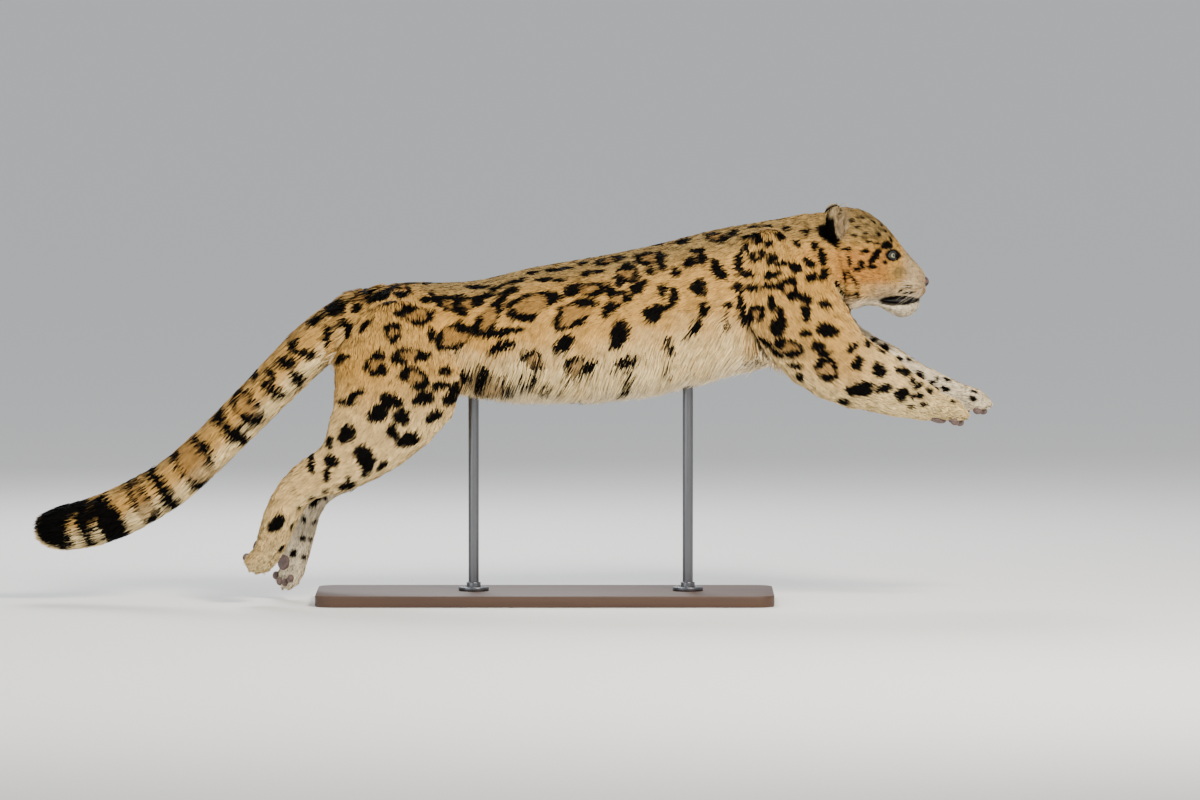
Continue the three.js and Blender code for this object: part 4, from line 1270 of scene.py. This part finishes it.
def make_ear(side, word, skin_material, fur_material):
    """An ear cup, with fur on its back and rim and long pale hair inside."""
    axes = ear_axes(side)
    centre = np.array(EAR_AT) * [1, side, 1]
    ear = ball(f"ear_{word}_skin", EAR["outer"], place_matrix(axes, centre))
    hollow = place_matrix(axes, centre + axes[0] * EAR["shift"] + axes[2])
    cut(ear, ball("hollow", EAR["inner"], hollow))
    apply_modifier(ear, "SUBSURF", levels=1)
    unwrapped(ear)
    points, normals = vertex_array(ear.data), normal_array(ear.data)
    # The ear's skin takes its colour darkened as painted shade under its fur
    paint(ear.data, ear_colour(points, normals, axes, centre) * 0.7)
    triangles, places = triangles_of(ear)
    settle(ear, ear.name)
    dress(ear, skin_material)
    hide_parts(f"ear_{word}")
    inner = ear_inner(points, normals, axes, centre)[triangles[:, 0]]
    for kind, sizes, faces in (("fur", EAR_FUR, np.arange(len(triangles))), ("hair", EAR_HAIR, np.flatnonzero(inner))):
        weights, faces = scatter(points, triangles, faces, sizes["tufts"])
        root = at_roots(weights, points[triangles[faces]])
        normal = unit(at_roots(weights, normals[triangles[faces]]))
        lie = np.tile(axes[2], (len(root), 1)) + (0.6 * axes[0] if kind == "hair" else 0)
        inside = ear_inner(root, normal, axes, centre)
        colour = ear_colour(root, normal, axes, centre)
        rise = (root / MM - centre) @ axes[2] / EAR["outer"][2]
        long = sizes["long"] * MM * (1 - 0.35 * smooth_step(0.5, 1.0, rise))
        lift = np.full(len(root), math.radians(sizes["lift"])) * (1 + 0.5 * inside)
        size = (long, np.full(len(root), sizes["wide"] * MM), lift)
        place = at_roots(weights, places[faces])
        tufts(f"ear_{word}_{kind}", root, normal, lie, size, colour, place, fur_material, 0.25)


def ear_inner(points, normals, axes, centre):
    """Whether each point of an ear is on the cup's hollow side."""
    place = (points / MM - centre - axes[0] * EAR["shift"] - axes[2]) @ np.stack(axes, 1) / EAR["inner"]
    return (np.linalg.norm(place, axis=1) < 1.03) & (normals @ axes[0] > -0.2)


def ear_colour(points, normals, axes, centre):
    """An ear's colours: cream inside and on the rim, black on the back but for its tip, and brown deep in the hollow as
    painted shade.
    """
    place = (points / MM - centre) @ np.stack(axes, 1) / EAR["outer"]
    colour = np.tile(linear(MUZZLE), (len(points), 1))
    colour = blend(colour, linear(BACK_TONE_AND_SHADE), smooth_step(-0.6, 0.9, place[:, 2]) * 0.55)
    inside = ear_inner(points, normals, axes, centre)
    back = smooth_step(0.45, 0.2, place[:, 0]) * smooth_step(0.74, 0.52, place[:, 2]) * ~inside
    colour = blend(colour, linear(DARK), back)
    # Brown deep in the cup: painted shade in the ear's hollow
    hollow_shade = inside * smooth_step(0.75, 0.2, np.hypot(place[:, 1], place[:, 2] - 0.1))
    return blend(colour, linear(EYE_BROWN), hollow_shade * 0.75)


def paws(side):
    """(centre, axes, size) of the two paws of one side."""
    for rows, far, size, turn in (
        (FORELEG_PAW, FAR_FORELEG_PAW, FOREPAW, 0),
        (HINDLEG_PAW, FAR_HINDLEG_PAW, HINDPAW, 40),
    ):
        before, last = rows if side < 0 else far
        turn -= FAR_HINDLEG["turn"] if side > 0 and turn else 0
        yield np.array(last) * [1, side, 1], paw_axes(last, before, side, turn), size


def make_pads(word, side, material):
    """The bare pads under two paws of one side: one broad pad and four toes each."""
    made = []
    for centre, axes, size in paws(side):
        shapes = [(-0.04, 0, 0.42, 0.2, 0.25, 0.13)]
        for aside, reach in TOES:
            shapes.append((reach, aside, 0.34, 0.1, 0.09, 0.12))
        for along, aside, down, a, b, c in shapes:
            spot = centre + axes[0] * along * size["long"] + axes[1] * aside * size["wide"]
            spot = spot - axes[2] * down * size["thick"]
            radii = (a * size["long"], b * size["wide"], c * size["thick"])
            made.append(ball("pad", radii, place_matrix(axes, spot), 20, 12))
    pads = joined(made)
    settle(pads, f"pads_{word}")
    return dress(pads, material)


def make_claws(word, side, material):
    """The hooked claws of two paws of one side, each drawn back into its toe so that only the tip shows."""
    made = []
    for centre, axes, size in paws(side):
        for aside, reach in TOES:
            foot = centre + axes[0] * (reach * size["long"] + CLAW["from"]) + axes[1] * aside * size["wide"]
            foot = foot - axes[2] * CLAW["below"]
            points, radii = [], []
            for t in np.linspace(0, 1, 8):
                points.append((foot + axes[0] * CLAW["long"] * t - axes[2] * CLAW["hook"] * t * t) * MM)
                radii.append(CLAW["thick"] * (1 - 0.85 * t))
            made.append(tube("claw", points, radii))
    claws = joined(made)
    settle(claws, f"claws_{word}")
    return dress(claws, material)


# The stand


def make_base(material):
    """The base board: rounded corners and an eased edge."""
    bpy.ops.mesh.primitive_cube_add(size=1, location=(0, 0, BASE["thick"] * MM / 2))
    board = bpy.context.active_object
    board.scale = (BASE["long"] * MM, BASE["wide"] * MM, BASE["thick"] * MM)
    settle(board, "base_board")
    bpy.ops.object.mode_set(mode="EDIT")
    bpy.ops.mesh.select_mode(type="EDGE")
    bpy.ops.mesh.select_all(action="DESELECT")
    bpy.ops.object.mode_set(mode="OBJECT")
    for edge in board.data.edges:
        a, b = (board.data.vertices[i].co for i in edge.vertices)
        edge.select = abs(a.z - b.z) > BASE["thick"] * MM / 2
    bpy.ops.object.mode_set(mode="EDIT")
    bpy.ops.mesh.bevel(offset=BASE["corner"] * MM, segments=12)
    bpy.ops.object.mode_set(mode="OBJECT")
    apply_modifier(board, "BEVEL", width=BASE["edge"] * MM, segments=3, angle_limit=math.radians(50))
    bpy.ops.object.shade_smooth_by_angle(angle=math.radians(35))
    dress(board, material)
    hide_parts("stand_base")


def drum(radius, foot, top, x, y=0.0, sides=48):
    """A plain round drum standing at a place, in millimetres."""
    place = Vector((x, y, (foot + top) / 2)) * MM
    bpy.ops.mesh.primitive_cylinder_add(vertices=sides, radius=radius * MM, depth=(top - foot) * MM, location=place)
    return bpy.context.active_object


def make_rod(word, x, material):
    """A rod in its flange, held by three round-headed screws."""
    foot = BASE["thick"] + 0.3
    flange = drum(ROD["flange"], foot, foot + ROD["flange_thick"], x)
    apply_modifier(flange, "BEVEL", width=1.5 * MM, segments=3, angle_limit=math.radians(50))
    pieces = [flange, drum(ROD["radius"], foot, ROD["top"], x)]
    collar = drum(ROD["radius"] + 4, foot, foot + ROD["flange_thick"] + 10, x)
    apply_modifier(collar, "BEVEL", width=1.5 * MM, segments=3, angle_limit=math.radians(50))
    pieces.append(collar)
    for k in range(3):
        turn = math.radians(30 + 120 * k)
        at = Vector((x + ROD["screws"] * math.cos(turn), ROD["screws"] * math.sin(turn), foot + ROD["flange_thick"]))
        pieces.append(ball("screw", (3.2, 3.2, 1.6), Matrix.Translation(at * MM), 20, 10))
    rod = joined(pieces)
    settle(rod, f"rod_{word}")
    bpy.ops.object.shade_smooth_by_angle(angle=math.radians(35))
    dress(rod, material)
    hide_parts(f"stand_rod_{word}")


# The animal's coat

skin_object = make_skin()
points, normals, fields = fields_of(skin_object)
skin_object.data.vertices.foreach_set("co", (points - normals * fields.depth[:, None]).ravel())
skin_object.data.update()
apply_modifier(skin_object, "SMOOTH", factor=0.5, iterations=2)
open_mouth(skin_object)
settle(skin_object, "skin")
unwrapped(skin_object)
skin = Skin(skin_object)
marks = body_marks(skin)
print("skin", len(skin.points), "marks", len(marks), flush=True)
# The skin takes the coat's colour, darkened as painted shade under the fur
paint(skin_object.data, coat_colour(skin.points, skin.normals, skin.fields, marks) * SKIN_SHADE)
fur = coat_material("fur", 60, 0.25)
under_fur = coat_material("under_fur", 200, 0.3)
dress(skin_object, under_fur)
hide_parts("torso", "neck", *FLESH, "tail_root", "tail_upper", "tail_lower", "tail_tip")
for name in COAT:
    coat_piece(name, skin, marks, fur)

# The head's pieces, the pads and the stand

glossy = painted_material("eye_gloss", 0.08, coat=1.0)
damp = painted_material("nose_damp", 0.38, coat=0.3)
rim_skin = plain_material("rim_skin", LIP, 0.45)
whisker = plain_material("whisker", WHITE, 0.35)
horn = plain_material("claw_horn", CLAW_HORN, 0.35)
pad_skin = mottled_material("pad_skin", (PAD, LIP), 220, (1, 1, 1), 0.7, bump=0.6)
for side, word in SIDES:
    make_eye(side, word, glossy)
    make_lids(side, word, rim_skin)
    make_ear(side, word, under_fur, fur)
    make_whiskers(side, word, whisker)
    make_pads(word, side, pad_skin)
    make_claws(word, side, horn)
make_nose(damp)
make_mouth_shade(rim_skin)
make_base(mottled_material("oak", (OAK_GRAIN, OAK), 9, (0.35, 6, 6), 0.6))
steel = mottled_material("steel", (STEEL, (98, 99, 102)), 60, (1, 1, 0.1), 0.34, metallic=1.0, bump=0.05)
for word, x in (("front", ROD["front_x"]), ("rear", ROD["rear_x"])):
    make_rod(word, x, steel)

# Stage and camera


def make_stage():
    """A pale floor that reaches past the top of the picture."""
    floor_material = plain_material("stage", STAGE, 0.9)
    bpy.ops.mesh.primitive_plane_add(size=2, location=(0, 0, 0))
    floor = bpy.context.active_object
    floor.scale = (STAGE_HALF, STAGE_HALF, 1)
    settle(floor, "floor")
    floor.data.materials.append(floor_material)
    return floor


def make_light(name, place, aim, size, power, colour):
    """A soft square light."""
    bpy.ops.object.light_add(type="AREA", location=place)
    light = bpy.context.active_object
    light.name = name
    light.data.size = size
    light.data.energy = power
    light.data.color = colour
    light.rotation_euler = (Vector(aim) - Vector(place)).to_track_quat("-Z", "Y").to_euler()
    return light


make_stage()
middle_x, middle_z = photo_xz(PHOTO["px"] / 2, PHOTO["py"] / 2)
aim = Vector((middle_x, 0, middle_z))
make_light("key", (1.7, -2.9, 3.1), (0, 0, 0.5), 1.1, 275, (1.0, 0.92, 0.82))
make_light("fill", (-2.8, -2.6, 1.4), (0, 0, 0.5), 2.6, 45, (0.88, 0.94, 1.0))
make_light("back", (-0.6, 2.6, 2.8), (0, 0, 0.6), 1.6, 120, (0.93, 0.96, 1.0))
world = bpy.data.worlds.new("studio")
bpy.context.scene.world = world
world.use_nodes = True
world.node_tree.nodes["Background"].inputs["Color"].default_value = (0.82, 0.86, 0.92, 1)
world.node_tree.nodes["Background"].inputs["Strength"].default_value = 0.72

bpy.ops.object.camera_add()
camera = bpy.context.active_object
camera.location = aim - CAMERA["far"] * SIGHT
camera.rotation_euler = (math.pi / 2 - RAISED, 0, 0)
camera.data.sensor_width = CAMERA["sensor"]
camera.data.lens = CAMERA["sensor"] * CAMERA["far"] / (PHOTO["px"] * PHOTO["mm_per_px"] * MM)
camera.data.clip_end = 3 * STAGE_HALF
bpy.context.scene.camera = camera
